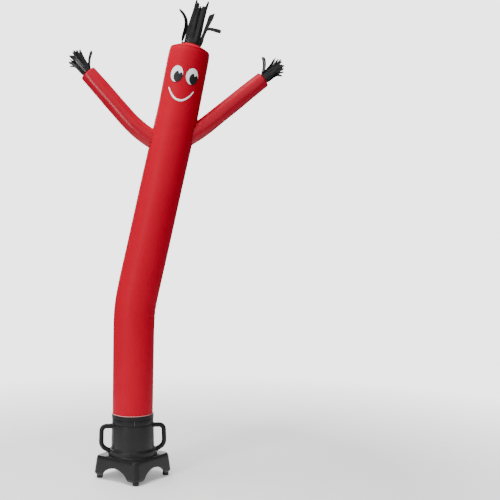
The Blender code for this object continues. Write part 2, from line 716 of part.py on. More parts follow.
def make_screws(look, parent):
    place = [(x, z) for z in (SCREW_HIGH, SCREW_LOW) for x in (SCREW_SIDE, -SCREW_SIDE)]
    for i, (x, z) in enumerate(place):
        rings = []
        for out, radius in [(GAP, 1.0), (0.0016, 1.0), (0.0026, 0.72), (0.0030, 0.30)]:
            outline = circle(SCREW_RADIUS * radius, 12)[:, :2]
            rings.append(outward_ring(outline, x, z, PAD_FRONT + out))
        solid(f"screw_{i + 1}", *skin(rings), look, parent)


def make_gland(look, parent):
    x, z = GLAND_PLACE
    rings = [outward_ring(circle(row["radius"], 12)[:, :2], x, z, PAD_FRONT + GAP + row["out"])
             for row in GLAND_SECTIONS]
    solid("gland", *skin(rings), look, parent)


def empty(name, parent=None):
    made = bpy.data.objects.new(name, None)
    bpy.context.scene.collection.objects.link(made)
    made.parent = parent
    return made


def make_cloth(parent):
    red = finish("red_nylon", (0.62, 0.01, 0.02), 0.55)
    black = finish("black_nylon", (0.012, 0.012, 0.013), 0.5)
    white = finish("white_patch", (0.85, 0.85, 0.84), 0.6)
    body = make_body(red, parent)
    core_rings = [body_ring(row["height"], row["radius"] + GAP) for row in BODY_SECTIONS]
    core = solid("body_core", *skin(core_rings), red, parent)
    make_crown(red, parent)
    for arm in ARMS:
        make_arm(arm, body, core, red, parent)
        make_cuff(arm, red, parent)
        make_bundle("hand_" + arm["name"], HAND_STRIPS, HAND_BAND_RADIUS, HAND_ROOT_WIDTH, arm_end(arm),
                    -0.006, 0.006, HAND_LEAN, black, parent)
    head = body_frame(BODY_SECTIONS[-1]["height"])
    rise = CROWN_DOME * (1 - (VENT_RADIUS / BODY_SECTIONS[-1]["radius"]) ** 2)
    make_bundle("hair", HAIR_STRIPS, HAIR_BAND_RADIUS, HAIR_ROOT_WIDTH, head,
                rise - 0.006, rise + 0.008, HAIR_LEAN, black, parent)
    make_face(white, black, parent)


def make_blower(parent):
    plastic = finish("charcoal_plastic", (0.035, 0.035, 0.038), 0.5)
    rubber = finish("black_rubber", (0.015, 0.015, 0.015), 0.8)
    metal = finish("bright_metal", (0.75, 0.75, 0.76), 0.25, 1.0)
    green = finish("green_switch", (0.01, 0.16, 0.08), 0.3)
    make_base(plastic, parent)
    make_feet(rubber, parent)
    make_housing(plastic, parent)
    core = housing_core(plastic, parent)
    make_collar(plastic, parent)
    make_clamp_band(plastic, parent)
    make_handles(core, plastic, parent)
    make_pad(core, plastic, parent)
    make_cover(plastic, parent)
    make_switch(rubber, green, parent)
    make_screws(metal, parent)
    make_gland(metal, parent)


def centre_on_box(top):
    """Moves everything so that the middle of the whole box's underside is the origin."""
    bpy.context.view_layer.update()
    graph = bpy.context.evaluated_depsgraph_get()
    corners = []
    for obj in bpy.context.scene.objects:
        if obj.type == "MESH" and not obj.hide_render:
            shape = obj.evaluated_get(graph)
            mesh = shape.to_mesh()
            corners += [shape.matrix_world @ vertex.co for vertex in mesh.vertices]
            shape.to_mesh_clear()
    corners = np.array(corners)
    low, high = corners.min(axis=0), corners.max(axis=0)
    top.location = (-(low[0] + high[0]) / 2, -(low[1] + high[1]) / 2, -low[2])
    print("box", [round(float(side), 4) for side in high - low], "moved by", list(top.location))


def main():
    clear_scene()
    top = empty("air_dancer")
    blower = empty("blower", top)
    blower.rotation_euler.z = math.radians(BLOWER_TURN)
    make_cloth(top)
    make_blower(blower)
    centre_on_box(top)


main()
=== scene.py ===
# %% [markdown]
# # An air dancer on its blower
# A thin nylon tube is clamped on an upright blower, which fills it with air. The air leaves through the vents
# that the hair and the hands are sewn into. This lesson dresses the solid frame of such a figure. Cloth that
# air holds taut has a shape that a formula can give, so nearly every piece is a grid of points from numpy,
# put into a mesh in one go, and each finish is a small node tree.

# %% Load the frame
import math

import bmesh
import bpy
import numpy as np
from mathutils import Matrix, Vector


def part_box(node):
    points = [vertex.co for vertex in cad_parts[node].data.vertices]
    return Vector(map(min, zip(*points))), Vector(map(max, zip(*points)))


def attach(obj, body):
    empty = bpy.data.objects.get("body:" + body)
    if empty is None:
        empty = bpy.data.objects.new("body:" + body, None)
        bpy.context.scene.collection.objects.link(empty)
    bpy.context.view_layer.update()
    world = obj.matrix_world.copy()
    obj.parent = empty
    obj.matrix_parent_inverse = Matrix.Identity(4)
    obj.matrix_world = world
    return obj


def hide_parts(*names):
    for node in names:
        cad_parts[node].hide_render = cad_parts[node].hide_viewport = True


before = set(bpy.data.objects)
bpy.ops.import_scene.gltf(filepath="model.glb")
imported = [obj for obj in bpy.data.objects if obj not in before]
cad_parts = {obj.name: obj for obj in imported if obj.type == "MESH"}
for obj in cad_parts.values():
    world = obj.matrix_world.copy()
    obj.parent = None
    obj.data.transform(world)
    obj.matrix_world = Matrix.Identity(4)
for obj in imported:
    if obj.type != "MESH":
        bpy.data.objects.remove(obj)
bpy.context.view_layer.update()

print("frame nodes:", len(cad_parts))

# %% [markdown]
# ## Where things are
# The blower stands upright, so the middle of its housing gives the axis that everything else is placed from.
# Lengths are in metres, angles in degrees. The sizes could be typed in where they are used, but a table of
# them can be checked against the real figure, and changed in one place.

# %% Sizes of the cloth figure
HOUSING_LOW, HOUSING_HIGH = (np.array(corner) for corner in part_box("housing"))
AXIS_X, AXIS_Y = (HOUSING_LOW + HOUSING_HIGH)[:2] / 2
FIGURE, SWITCH = "dancer", "rocker"
CLOTH_WALL, PATCH_WALL, RIBBON_WALL = 0.0006, 0.0004, 0.0005

TUBE_SECTIONS = np.array([  # height, radius
    (0.291, 0.1065), (0.342, 0.1065), (0.365, 0.1080), (0.550, 0.1090), (0.750, 0.1098), (0.840, 0.1105),
    (0.930, 0.1118), (1.050, 0.1130), (1.300, 0.1133), (1.620, 0.1133), (1.900, 0.1128), (1.980, 0.1113),
    (2.020, 0.1110), (2.232, 0.1110), (2.268, 0.1100), (2.282, 0.1080), (2.292, 0.1045),
])
TUBE_TOP, CROWN_EDGE = (float(size) for size in TUBE_SECTIONS[-1])
LEAN_FROM, LEAN_SLOPE = 0.365, 0.012
BENDS = [dict(height=0.905, turn=0.2125, softness=0.04), dict(height=1.950, turn=-0.03, softness=0.02)]
CROWN_RISE, CROWN_VENT = 0.030, 0.0546
ARMS = [
    dict(name="left", side=-1, height=1.754, start=0.002, root_angle=33.0, tip_angle=49.0,
         root=0.130, bend=0.170, tip=0.308, root_radius=0.0500, tip_radius=0.0460),
    dict(name="right", side=1, height=1.780, start=0.016, root_angle=31.0, tip_angle=38.8,
         root=0.120, bend=0.120, tip=0.358, root_radius=0.0490, tip_radius=0.0435),
]
HAND_VENT = 0.0267
print("blower axis at", round(float(AXIS_X), 4), round(float(AXIS_Y), 4))

# %% [markdown]
# ## From a formula to a mesh
# A surface here is an array of rows by columns by 3. Numpy works out all its points at once, and its faces
# join each point to the next in its row and in the next row. Blender's own Grid or Cylinder could be bent
# with modifiers, but then the true lengths along the cloth would be lost. The same arrays give the UV map:
# the length walked along the cloth, in metres, so that a weave has its true scale on every piece.

# %% Faces of a grid
def arc_lengths(points, axis, closed):
    """Length walked from the first point along an axis of the grid, with one more entry where it closes."""
    following = np.roll(points, -1, axis) if closed else np.take(points, range(1, points.shape[axis]), axis)
    held = points if closed else np.take(points, range(points.shape[axis] - 1), axis)
    steps = np.linalg.norm(following - held, axis=-1)
    start = np.zeros_like(np.take(steps, [0], axis))
    return np.concatenate([start, np.cumsum(steps, axis)], axis)


def faces_of(grid, around, along, facing):
    """Corners and UVs of a grid's faces, which look away from its middle, or the way that facing says."""
    rows, columns = grid.shape[:2]
    i = np.arange(rows if along else rows - 1)[:, None]
    j = np.arange(columns if around else columns - 1)[None, :]
    i, j = np.broadcast_arrays(i, j)
    ring = [(i, j), (i, j + 1), (i + 1, j + 1), (i + 1, j)]
    index = np.stack([(a % rows) * columns + b % columns for a, b in ring], -1).reshape(-1, 4)
    u, v = arc_lengths(grid, 1, around), arc_lengths(grid, 0, along)
    uv = np.stack([np.stack([u[a % rows, b], v[a, b % columns]], -1) for a, b in ring], 2).reshape(-1, 4, 2)
    flat = grid.reshape(-1, 3)
    corner = flat[index]
    normal = np.cross(corner[:, 2] - corner[:, 0], corner[:, 3] - corner[:, 1])
    away = corner.mean(1) - flat.mean(0) if facing is None else np.array(facing, float)
    if (normal * away).sum() < 0:
        index, uv = index[:, ::-1], uv[:, ::-1]
    return index, uv


def mesh_of(name, points, corners, uvs):
    """A mesh of four-sided faces, straight from arrays."""
    mesh = bpy.data.meshes.new(name)
    mesh.vertices.add(len(points))
    mesh.vertices.foreach_set("co", points.ravel())
    mesh.loops.add(corners.size)
    mesh.loops.foreach_set("vertex_index", corners.ravel())
    mesh.polygons.add(len(corners))
    mesh.polygons.foreach_set("loop_start", np.arange(len(corners)) * 4)
    mesh.update(calc_edges=True)
    mesh.uv_layers.new(name="cloth").data.foreach_set("uv", uvs.reshape(-1))
    return mesh


# %% [markdown]
# ### From a mesh to a piece
# Every piece is finished in the same way, so one function does it. It welds the points that meet at a pole,
# shades the faces smooth up to a sharp angle, gives a sheet its thickness, hides the solids that it stands
# for, and hangs the piece on the body that it rides on.

# %% Finishing a piece
MERGE = 1e-6
SHARP = math.radians(38)


def dress(name, mesh, finish, nodes=(), wall=0.0, body=FIGURE):
    """An object from a mesh, welded, shaded, and hung on its body in place of its solids."""
    shape = bmesh.new()
    shape.from_mesh(mesh)
    bmesh.ops.remove_doubles(shape, verts=shape.verts, dist=MERGE)
    bmesh.ops.dissolve_degenerate(shape, edges=shape.edges, dist=MERGE)
    shape.to_mesh(mesh)
    shape.free()
    mesh.shade_smooth()
    mesh.set_sharp_from_angle(angle=SHARP)
    mesh.materials.append(finish.material)
    piece = bpy.data.objects.new(name, mesh)
    bpy.context.scene.collection.objects.link(piece)
    if wall:
        solidify = piece.modifiers.new("wall", "SOLIDIFY")
        solidify.thickness = wall
        solidify.offset = -1
    if nodes:
        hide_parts(*nodes)
    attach(piece, body)
    print(f"{name}: {len(mesh.polygons)} faces")
    return piece


def surface(name, grids, finish, nodes=(), around=True, along=False, facing=None, wall=0.0, body=FIGURE):
    """One piece from grids of points: around closes their rows, along closes their columns."""
    grids = grids if isinstance(grids, list) else [grids]
    points = [grid.reshape(-1, 3) for grid in grids]
    firsts = np.cumsum([0] + [len(flat) for flat in points[:-1]])
    faces = [faces_of(grid, around, along, facing) for grid in grids]
    corners = np.concatenate([index + first for (index, _), first in zip(faces, firsts)])
    mesh = mesh_of(name, np.concatenate(points), corners, np.concatenate([uv for _, uv in faces]))
    return dress(name, mesh, finish, nodes, wall, body)


# %% [markdown]
# ### Rings, rounded lines and sweeps
# Most pieces are either turned, as on a lathe, or swept, as a cord is: a ring of points is carried along a
# line. Curve objects could sweep too, but arrays keep one way of working for everything.

# %% Turned shapes
def turns(count, closed=True):
    """Angles of a full circle."""
    return np.linspace(0, 2 * math.pi, count, endpoint=not closed)


def smoothstep(low, high, value):
    """0 below low, 1 above high, and the cubic 3s^2 - 2s^3 between them."""
    share = np.clip((value - low) / (high - low), 0, 1)
    return share * share * (3 - 2 * share)


def rounded(corners, radii, steps=6):
    """A line through the corners, each inner one replaced by a quadratic curve that starts a radius away."""
    corners = np.array(corners, float)
    radii = np.broadcast_to(radii, len(corners) - 2)
    share = np.linspace(0, 1, steps)[:, None]
    path = [corners[:1]]
    for before, corner, after, radius in zip(corners, corners[1:], corners[2:], radii):
        back, on = before - corner, after - corner
        start = corner + back * min(radius / np.linalg.norm(back), 0.499)
        end = corner + on * min(radius / np.linalg.norm(on), 0.499)
        path.append(start * (1 - share) ** 2 + 2 * corner * share * (1 - share) + end * share**2)
    return np.concatenate(path + [corners[-1:]])


def turned(profile, sides, centre=(AXIS_X, AXIS_Y)):
    """A profile of (radius, height) carried round an upright axis."""
    profile, angle = np.asarray(profile, float), turns(sides)
    radius, height = profile[:, :1], profile[:, 1:]
    return np.stack([centre[0] + radius * np.cos(angle), centre[1] + radius * np.sin(angle),
                     height + 0 * angle], -1)


# %% Swept shapes
STEEP = 0.9  # a path that heads further back or forward than this takes its guide from the upright


def sweep(path, radius, sides=12, flat=1.0, closed=False):
    """Rings along a path: each ring stands square to the path, its second width scaled by flat."""
    path = np.asarray(path, float)
    ahead = np.roll(path, -1, 0) - np.roll(path, 1, 0)
    if not closed:
        ahead[0], ahead[-1] = path[1] - path[0], path[-1] - path[-2]
    ahead /= np.linalg.norm(ahead, axis=1, keepdims=True)
    guide = np.array([0.0, 1.0, 0.0]) if abs(ahead[:, 1]).max() < STEEP else np.array([0.0, 0.0, 1.0])
    across = np.cross(guide, ahead)
    across /= np.linalg.norm(across, axis=1, keepdims=True)
    other = np.cross(ahead, across)
    angle = turns(sides)[None, :, None]
    radius = np.broadcast_to(radius, len(path))[:, None, None]
    return path[:, None] + radius * (np.cos(angle) * across[:, None] + flat * np.sin(angle) * other[:, None])


def capped(grid):
    """The grid with a pole at each end, so that a swept shape closes."""
    low = np.broadcast_to(grid[0].mean(0), grid[0].shape)[None]
    high = np.broadcast_to(grid[-1].mean(0), grid[-1].shape)[None]
    return np.concatenate([low, grid, high])


# %% [markdown]
# ## Finishes
# A finish is a Principled shader with a few nodes in front of it. Shader maths is easier to read as Python,
# so `Value` wraps a node's output and turns `+` and `*` into Math nodes. Every node comes from `Finish.node`.
# Only what changes over the surface is linked; a constant is set on the shader's own socket. A finish also
# knows the slot of the record that it belongs to.

# %% Shader maths in Python
class Value:
    """A node's output that can be used in an expression."""

    def __init__(self, finish, output):
        self.finish = finish
        self.output = output

    def math(self, operation, first, second=0.0):
        """One Math node on two values or numbers."""
        return self.finish.node("ShaderNodeMath", {"operation": operation}, {0: first, 1: second})

    def __add__(self, other):
        """The sum of the two."""
        return self.math("ADD", self, other)

    __radd__ = __add__

    def __mul__(self, other):
        """The product of the two."""
        return self.math("MULTIPLY", self, other)

    __rmul__ = __mul__

    def sine(self):
        """The sine of the value, taken as an angle in radians."""
        return self.math("SINE", self)


def opaque(colour):
    """A plain colour with its alpha; a node's value as it is."""
    return colour if isinstance(colour, Value) else (*colour, 1.0)


# %% A finish and its nodes
class Finish:
    """A material, its shader and a maker of nodes."""

    def __init__(self, name, slot, **sockets):
        self.slot = slot
        self.material = bpy.data.materials.new(name)
        self.material.use_nodes = True
        self.tree = self.material.node_tree
        self.shader = self.tree.nodes["Principled BSDF"]
        self.set(**sockets)

    def feed(self, node, inputs):
        """Links each value to its socket, and sets each number or colour there."""
        for key, value in inputs.items():
            if isinstance(value, Value):
                self.tree.links.new(value.output, node.inputs[key])
            else:
                node.inputs[key].default_value = value

    def set(self, **sockets):
        """Links or sets the shader's sockets, named with _ for a space."""
        self.feed(self.shader, {key.replace("_", " "): value for key, value in sockets.items()})

    def node(self, kind, settings, inputs, output=0):
        """A node of any kind: its settings first, then its sockets. Gives one of its outputs."""
        made = self.tree.nodes.new(kind)
        for key, value in settings.items():
            setattr(made, key, value)
        self.feed(made, inputs)
        return Value(self, made.outputs[output])

    def place(self, kind="Object"):
        """Object coordinates, the UV map, or the way that the surface faces."""
        return self.node("ShaderNodeTexCoord", {}, {}, kind)

    def split(self, vector):
        """The x, y and z of a vector."""
        parts = self.node("ShaderNodeSeparateXYZ", {}, {0: vector}).output.node
        return [Value(self, output) for output in parts.outputs]

    def noise(self, where, scale, detail=3.0, roughness=0.5):
        """Soft clouds from 0 to 1, about as many of them in a metre as the scale says."""
        return self.node("ShaderNodeTexNoise", {}, {"Vector": where, "Scale": scale, "Detail": detail,
                                                    "Roughness": roughness})

    def mix(self, share, first, second):
        """A colour between two colours."""
        return self.node("ShaderNodeMix", {"data_type": "RGBA"},
                         {0: share, 6: opaque(first), 7: opaque(second)}, 2)

    def span(self, value, low, high, to_low=0.0, to_high=1.0):
        """The value carried from one range to another."""
        return self.node("ShaderNodeMapRange", {}, {0: value, 1: low, 2: high, 3: to_low, 4: to_high})

    def bump(self, height, strength, distance):
        """Shades the surface as if it rose by the height times the distance."""
        self.set(Normal=self.node("ShaderNodeBump", {}, {"Strength": strength, "Distance": distance,
                                                         "Height": height}))


# %% [markdown]
# ### Nylon
# Tent nylon is a plain weave of fine threads with a thicker thread every few millimetres. Its coating makes
# it shine softly. An image of cloth could be tiled over it, but the UV map holds true lengths, so sine waves
# along U and V are the threads, sharp at any distance. Two noises make the coating slightly uneven.

# %% Woven finishes
def nylon(name, slot, colour, shade, roughness, grid=0.0042, thread=0.0008, shine=0.3, relief=0.42):
    """Woven cloth: shade is the colour of its darker patches, grid the pitch of its thicker threads."""
    made = Finish(name, slot, Specular_IOR_Level=shine)
    u, v, _ = made.split(made.place("UV"))
    fine = (u * (2 * math.pi / thread)).sine() * (v * (2 * math.pi / thread)).sine()
    thick = made.span((u * (2 * math.pi / grid)).sine(), 0.9, 1.0)
    thick = thick + made.span((v * (2 * math.pi / grid)).sine(), 0.9, 1.0)
    cloud = made.noise(made.place(), 3.0, 4.0)
    patches = made.noise(made.place(), 14.0, 5.0, 0.6)
    tint = made.mix(made.span(cloud * 0.6 + patches * 0.4, 0.3, 0.7), shade, colour)
    made.set(Base_Color=made.mix(thick * 0.40, tint, shade),
             Roughness=made.span(patches, 0.3, 0.7, roughness - 0.05, roughness + 0.06))
    made.bump(fine * 0.12 + thick * 0.6 + patches * 0.8, relief, 0.0003)
    return made


COARSE = dict(roughness=0.6, thread=0.0012)
RED = nylon("red_nylon", "red_nylon", (0.47, 0.0, 0.018), (0.41, 0.0, 0.015), 0.46, shine=0.08)
SLEEVE_RED = nylon("sleeve_nylon", "red_nylon", (0.42, 0.0, 0.017), (0.36, 0.0, 0.014), 0.27, shine=0.30,
                   relief=0.10)
THREAD_RED = nylon("red_thread", "red_nylon", (0.42, 0.0, 0.016), (0.34, 0.0, 0.012), shine=0.1, **COARSE)
# A pale pink cord: a painted highlight, for the light caught where the hem meets the collar.
HIGHLIGHT_CORD = nylon("painted_highlight_cord", "red_nylon", (0.86, 0.46, 0.46), (0.78, 0.36, 0.36), 0.5, thread=0.0012)
BLACK = nylon("black_nylon", "black_nylon", (0.007, 0.007, 0.008), (0.003, 0.003, 0.004), 0.27, shine=0.60)
WHITE = nylon("white_patch", "white_patch", (0.96, 0.96, 0.96), (0.93, 0.93, 0.93), 0.5)
PUPIL_BLACK = nylon("black_patch", "black_patch", (0.010, 0.010, 0.011), (0.006, 0.006, 0.006), 0.45)
THREAD_BLACK = nylon("black_thread", "black_patch", (0.010, 0.010, 0.011), (0.006, 0.006, 0.006), **COARSE)
print("woven finishes:", len(bpy.data.materials))


# %% [markdown]
# ### Moulded plastic and rubber
# The blower is moulded in charcoal plastic with a fine spark-eroded grain. Handling polishes it in patches,
# and dust lies on whatever faces up. One flat colour would look like a drawing, so noises of different size
# move its colour and roughness, and the surface's own direction says where the dust is.

# %% Moulded finishes
DUST = (0.16, 0.155, 0.15)


def moulded(name, slot, colour, worn, roughness, grain=0.0005, dusty=0.0, shine=0.45):
    """Plastic: worn is the colour of its rubbed patches, dusty the most that dust covers."""
    made = Finish(name, slot, Specular_IOR_Level=shine)
    cloud = made.noise(made.place(), 9.0, 5.0, 0.6)
    grit = made.noise(made.place(), 900.0, 2.0)
    scuff = made.noise(made.place(), 60.0, 6.0, 0.7)
    rubbed = made.span(cloud * 0.7 + scuff * 0.3, 0.35, 0.65)
    upward = made.span(made.split(made.place("Normal"))[2], 0.4, 1.0)
    dust = upward * made.span(scuff, 0.42, 0.62, 0.0, dusty)
    made.set(Base_Color=made.mix(dust, made.mix(rubbed, colour, worn), DUST),
             Roughness=made.span(cloud + scuff, 0.7, 1.3, roughness - 0.07, roughness + 0.08))
    made.bump(grit + scuff * 0.6, 0.25, grain)
    return made


BODY_SLOT = "charcoal_plastic"
CHARCOAL = moulded("charcoal_plastic", BODY_SLOT, (0.0045, 0.0045, 0.0050), (0.0082, 0.0082, 0.0088), 0.40,
                   dusty=0.11, shine=0.31)
# A darker copy of the charcoal plastic for the handles: painted shade, as they lie in shadow.
SHADED_HANDLE_CHARCOAL = moulded("painted_shade_handle", BODY_SLOT, (0.003, 0.003, 0.0033), (0.006, 0.006, 0.0064), 0.36,
                       dusty=0.10, shine=0.24)
# A slightly darker copy of the charcoal plastic for collar and band: painted shade under the hem.
SHADED_COLLAR_CHARCOAL = moulded("painted_shade_collar", BODY_SLOT, (0.0042, 0.0042, 0.0050), (0.007, 0.007, 0.0080), 0.42,
                       dusty=0.08, shine=0.24)
# A pale copy of the charcoal plastic: a painted reflection, for the light seen in the band's gap.
GLINT_PALE = moulded("painted_glint", BODY_SLOT, (0.10, 0.11, 0.115), (0.07, 0.075, 0.08), 0.6, 0.0001)
BEZEL_BLACK = moulded("bezel_plastic", "bezel_plastic", (0.012, 0.012, 0.013), (0.018, 0.018, 0.019), 0.28,
                      0.0001)
RUBBER = moulded("black_rubber", "black_rubber", (0.011, 0.011, 0.011), (0.020, 0.019, 0.018), 0.72, 0.0006)
MARK_WHITE = moulded("switch_mark", "green_switch", (0.72, 0.80, 0.76), (0.62, 0.70, 0.66), 0.4, 0.0001)
print("with moulded finishes:", len(bpy.data.materials))


# %% [markdown]
# ### Plated metal and tinted plastic
# Screws and gland are bright plated metal with finger marks, so a smear changes how sharp they shine. The
# rocker is clear green plastic with a lamp behind it. Glass would be truer but slow and noisy at this size,
# so a deep green under a clear coat stands in for it.

# %% Metal and green plastic
METAL = Finish("bright_metal", "bright_metal", Metallic=1.0)
smear = METAL.noise(METAL.place(), 120.0, 4.0, 0.6)
METAL.set(Base_Color=METAL.mix(smear, (0.70, 0.71, 0.73), (0.84, 0.84, 0.85)),
          Roughness=METAL.span(smear, 0.3, 0.7, 0.14, 0.32))
METAL.bump(smear, 0.1, 0.0002)

GREEN = Finish("green_switch", "green_switch", Coat_Roughness=0.08, Specular_IOR_Level=0.6)
depth = GREEN.noise(GREEN.place(), 180.0, 3.0)
GREEN.set(Base_Color=GREEN.mix(depth, (0.004, 0.135, 0.070), (0.010, 0.21, 0.115)),
          Roughness=GREEN.span(depth, 0.3, 0.7, 0.16, 0.26), Coat_Weight=depth)
GREEN.bump(depth, 0.1, 0.0001)
print("with hard finishes:", len(bpy.data.materials))

# %% [markdown]
# ## The tube
# The body is one tube of nylon. Its axis rises straight out of the collar, leans, and turns in two soft
# bends. Blender's Array and Curve modifiers could bend a cylinder, but the skin is wanted again for the
# sleeves, the seams and the face. So it is a function: it takes a turn round the tube and a height, and gives
# the point.

# %% Axis and radius of the tube
def tube_axis(height):
    """Sideways place of the axis: a lean from the foot, and soft bends that add turn times the rise."""
    place = LEAN_SLOPE * np.maximum(0.0, height - LEAN_FROM)
    for bend in BENDS:
        rise = (height - bend["height"]) / bend["softness"]
        place = place + bend["turn"] * bend["softness"] * np.logaddexp(0.0, rise)
    return AXIS_X + place


def tube_slope(height, step=0.001):
    """Slope of the axis, from two heights a short step apart."""
    return (tube_axis(height + step) - tube_axis(height - step)) / (2 * step)


def tube_radius(height):
    """Radius read from the sections, softened by averaging over a short stretch."""
    spread = np.linspace(-0.006, 0.006, 5)
    return np.mean([np.interp(height + s, *TUBE_SECTIONS.T) for s in spread], axis=0)


# %% [markdown]
# ### Creases, puckers and the seam down the back
# Air smooths the cloth, but it creases where the tube bends, gathers where the hem is drawn into the collar,
# and pulls in round each sleeve. A cloth simulation could find such folds, yet not the same ones twice, so
# each is a small dip added to the radius. The back seam is a low ridge, made in the same way.

# %% Relief of the skin
CREASES = [  # turn (0 to the viewer's right, -90 to the front), height, heading, length, width, depth
    (-8, 0.872, 4, 0.150, 0.010, 0.0012), (6, 0.905, -3, 0.180, 0.012, 0.0016),
    (-14, 0.938, 6, 0.140, 0.010, 0.0011), (20, 0.968, -5, 0.120, 0.012, 0.0008),
    (172, 1.925, 2, 0.120, 0.012, 0.0007), (188, 1.958, -3, 0.110, 0.010, 0.0006),
    (-60, 0.395, 78, 0.050, 0.006, 0.0007), (-96, 0.390, 96, 0.046, 0.006, 0.0008),
    (-128, 0.398, 100, 0.052, 0.007, 0.0007), (60, 0.392, 86, 0.048, 0.006, 0.0008),
    (118, 0.396, 95, 0.050, 0.006, 0.0007), (-24, 0.388, 82, 0.044, 0.006, 0.0007),
]
HEM = dict(low=0.338, high=0.350, middle=0.345, fade=0.022, depth=0.0009)
BACK_SEAM = dict(turn=96, radius=0.111, ridge=(0.0075, 0.0055), groove=0.0012, rise=0.0007)
PULL = dict(radius=0.113, above=0.060, ring=0.066, width=0.012, rays=19, depth=0.0012)
print("creases:", len(CREASES))


def turn_from(turn, middle):
    """Angle from the middle, between minus and plus half a circle."""
    return (turn - middle + math.pi) % (2 * math.pi) - math.pi


def creases(turn, height, radius):
    """Soft troughs laid on the cloth: a bell across each crease and a longer bell along it."""
    depth = 0
    for place, middle, heading, length, width, deep in CREASES:
        sideways = radius * turn_from(turn, math.radians(place))
        upwards = height - middle
        c, s = math.cos(math.radians(heading)), math.sin(math.radians(heading))
        along, across = sideways * c + upwards * s, upwards * c - sideways * s
        depth = depth + deep * np.exp(-(across / width) ** 2 - (2 * along / length) ** 2)
    return depth


def billow(turn, height):
    """A slow, uneven swell of under a millimetre, from a few waves round and along the tube."""
    return 0.0004 * (np.sin(2 * turn + 3.1 * height) + np.sin(3 * turn - 5.3 * height + 1.0)
                     + 0.6 * np.sin(5 * turn + 9.7 * height + 2.0))


def hem_gather(turn, height):
    """Small upright puckers over the collar: two waves round the tube, dying out upwards."""
    fade = np.exp(-np.maximum(0.0, height - HEM["middle"]) / HEM["fade"])
    fade = fade * smoothstep(HEM["low"], HEM["high"], height)
    return HEM["depth"] * fade * (np.sin(23 * turn + 0.7 * np.sin(5 * turn)) + 0.6 * np.sin(41 * turn + 1.3))


def back_seam(turn):
    """A flat-felled seam: a low ridge with a stitched groove along its middle."""
    away = np.abs(turn_from(turn, math.radians(BACK_SEAM["turn"]))) * BACK_SEAM["radius"]
    ridge, groove = smoothstep(*BACK_SEAM["ridge"], away), smoothstep(BACK_SEAM["groove"], 0.0, away)
    return BACK_SEAM["rise"] * (ridge - 0.4 * groove)


def sleeve_pull(turn, height):
    """The cloth is drawn in a little round each sleeve's seam: a bell-shaped ring, cut into short rays."""
    pull = 0
    for arm in ARMS:
        away = turn_from(turn, math.pi if arm["side"] < 0 else 0.0) * PULL["radius"]
        rise = height - arm["height"] - PULL["above"]
        rays = 0.5 + 0.5 * np.sin(PULL["rays"] * np.arctan2(rise, away) + 2.0 * arm["side"])
        ring = np.exp(-((np.hypot(away, rise) - PULL["ring"]) / PULL["width"]) ** 2)
        pull = pull + PULL["depth"] * rays * ring
    return pull


# %% The tube's skin
def tube_point(turn, height, lift=0.0):
    """The skin's point: the axis, plus the radius along a direction square to the leaning axis."""
    slope = tube_slope(height)
    size = np.sqrt(1 + slope**2)
    radius = tube_radius(height) + lift + billow(turn, height) + back_seam(turn) - hem_gather(turn, height)
    radius = radius - creases(turn, height, radius) - sleeve_pull(turn, height)
    side = radius * np.cos(turn)
    return np.stack([tube_axis(height) + side / size, AXIS_Y + radius * np.sin(turn) + 0 * height,
                     height - side * slope / size], -1)


# %% [markdown]
# ### The body
# The body is cut as one rectangle, as wide as the tube is round, and sewn into a tube. The rows of its grid
# lie closer together near the hem, the knee and the shoulder, where the shape changes.

# %% The body
def spaced(*stretches):
    """Numbers from a list of (start, end, count), joined."""
    runs = [np.linspace(start, end, count, endpoint=False) for start, end, count in stretches]
    return np.concatenate(runs + [[stretches[-1][1]]])


tube_rows = spaced((0.292, 0.336, 4), (0.336, 0.42, 28), (0.42, 0.82, 30), (0.82, 1.02, 50), (1.02, 1.70, 56),
                   (1.70, 2.02, 56), (2.02, 2.24, 26), (2.24, TUBE_TOP, 22))
body = surface("body_cloth", tube_point(turns(132)[None, :], tube_rows[:, None]), RED, ["body"],
               wall=CLOTH_WALL)

# %% [markdown]
# ### The highlight at the hem
# A thin pale cord where the hem meets the collar is a painted highlight, for the light on the collar's top
# lip. It could be a ring of its own, but taken from the tube's skin it follows every pucker.

# %% Hem cord
CORD_HEIGHT, CORD_RADIUS = 0.3396, 0.0015
cord_turns = turns(220, closed=False)
cord_line = tube_point(cord_turns, CORD_HEIGHT + 0.0004 * np.sin(7 * cord_turns), 0.0010)
cord_radii = CORD_RADIUS * (1 + 0.12 * np.sin(90 * cord_turns))
# The cord is a painted highlight along the collar's top lip.
surface("hem_highlight_cord", sweep(cord_line, cord_radii, 8, closed=True), HIGHLIGHT_CORD, along=True)

# %% [markdown]
# ### The crown
# The head ends in a round panel with a vent in its middle for the hair. Air blows it up to a shallow dome, a
# parabola from rim to vent. A cut sphere would do, but rings at chosen radii also give the turned-in rim and
# the lip of the vent, and let the seam draw tiny scallops into the edge.


# %% Rings round an axis
def frame_at(height):
    """The axis's point, with the directions to the side, to the back and up along the tube."""
    slope = float(tube_slope(height))
    size = math.hypot(1, slope)
    centre = np.array([float(tube_axis(height)), AXIS_Y, height])
    return centre, np.array([1, 0, -slope]) / size, np.array([0.0, 1.0, 0.0]), np.array([slope, 0, 1]) / size


def disc_rings(place, radii, rises, sides, scallop=None):
    """Rings round an axis, at radii and rises along it."""
    centre, side, back, up = place
    angle = turns(sides)
    radii = radii[:, None] + (scallop(angle, radii[:, None]) if scallop else 0 * angle)
    flat = np.cos(angle)[None, :, None] * side + np.sin(angle)[None, :, None] * back
    return centre + radii[..., None] * flat + np.asarray(rises)[:, None, None] * up


# %% The crown
crown_radii = np.concatenate([  # the turned-in rim, the dome, the lip of the vent
    [CROWN_EDGE - 0.001, CROWN_EDGE + 0.0004],
    np.linspace(CROWN_EDGE - 0.0006, CROWN_VENT + 0.003, 26),
    [CROWN_VENT + 0.0014, CROWN_VENT + 0.0004]])
crown_rises = CROWN_RISE * (1 - (crown_radii / CROWN_EDGE) ** 2) + 0.0012
crown_rises[0] = -0.0025
crown_rises[-2:] += [0.0008, 0.0026]


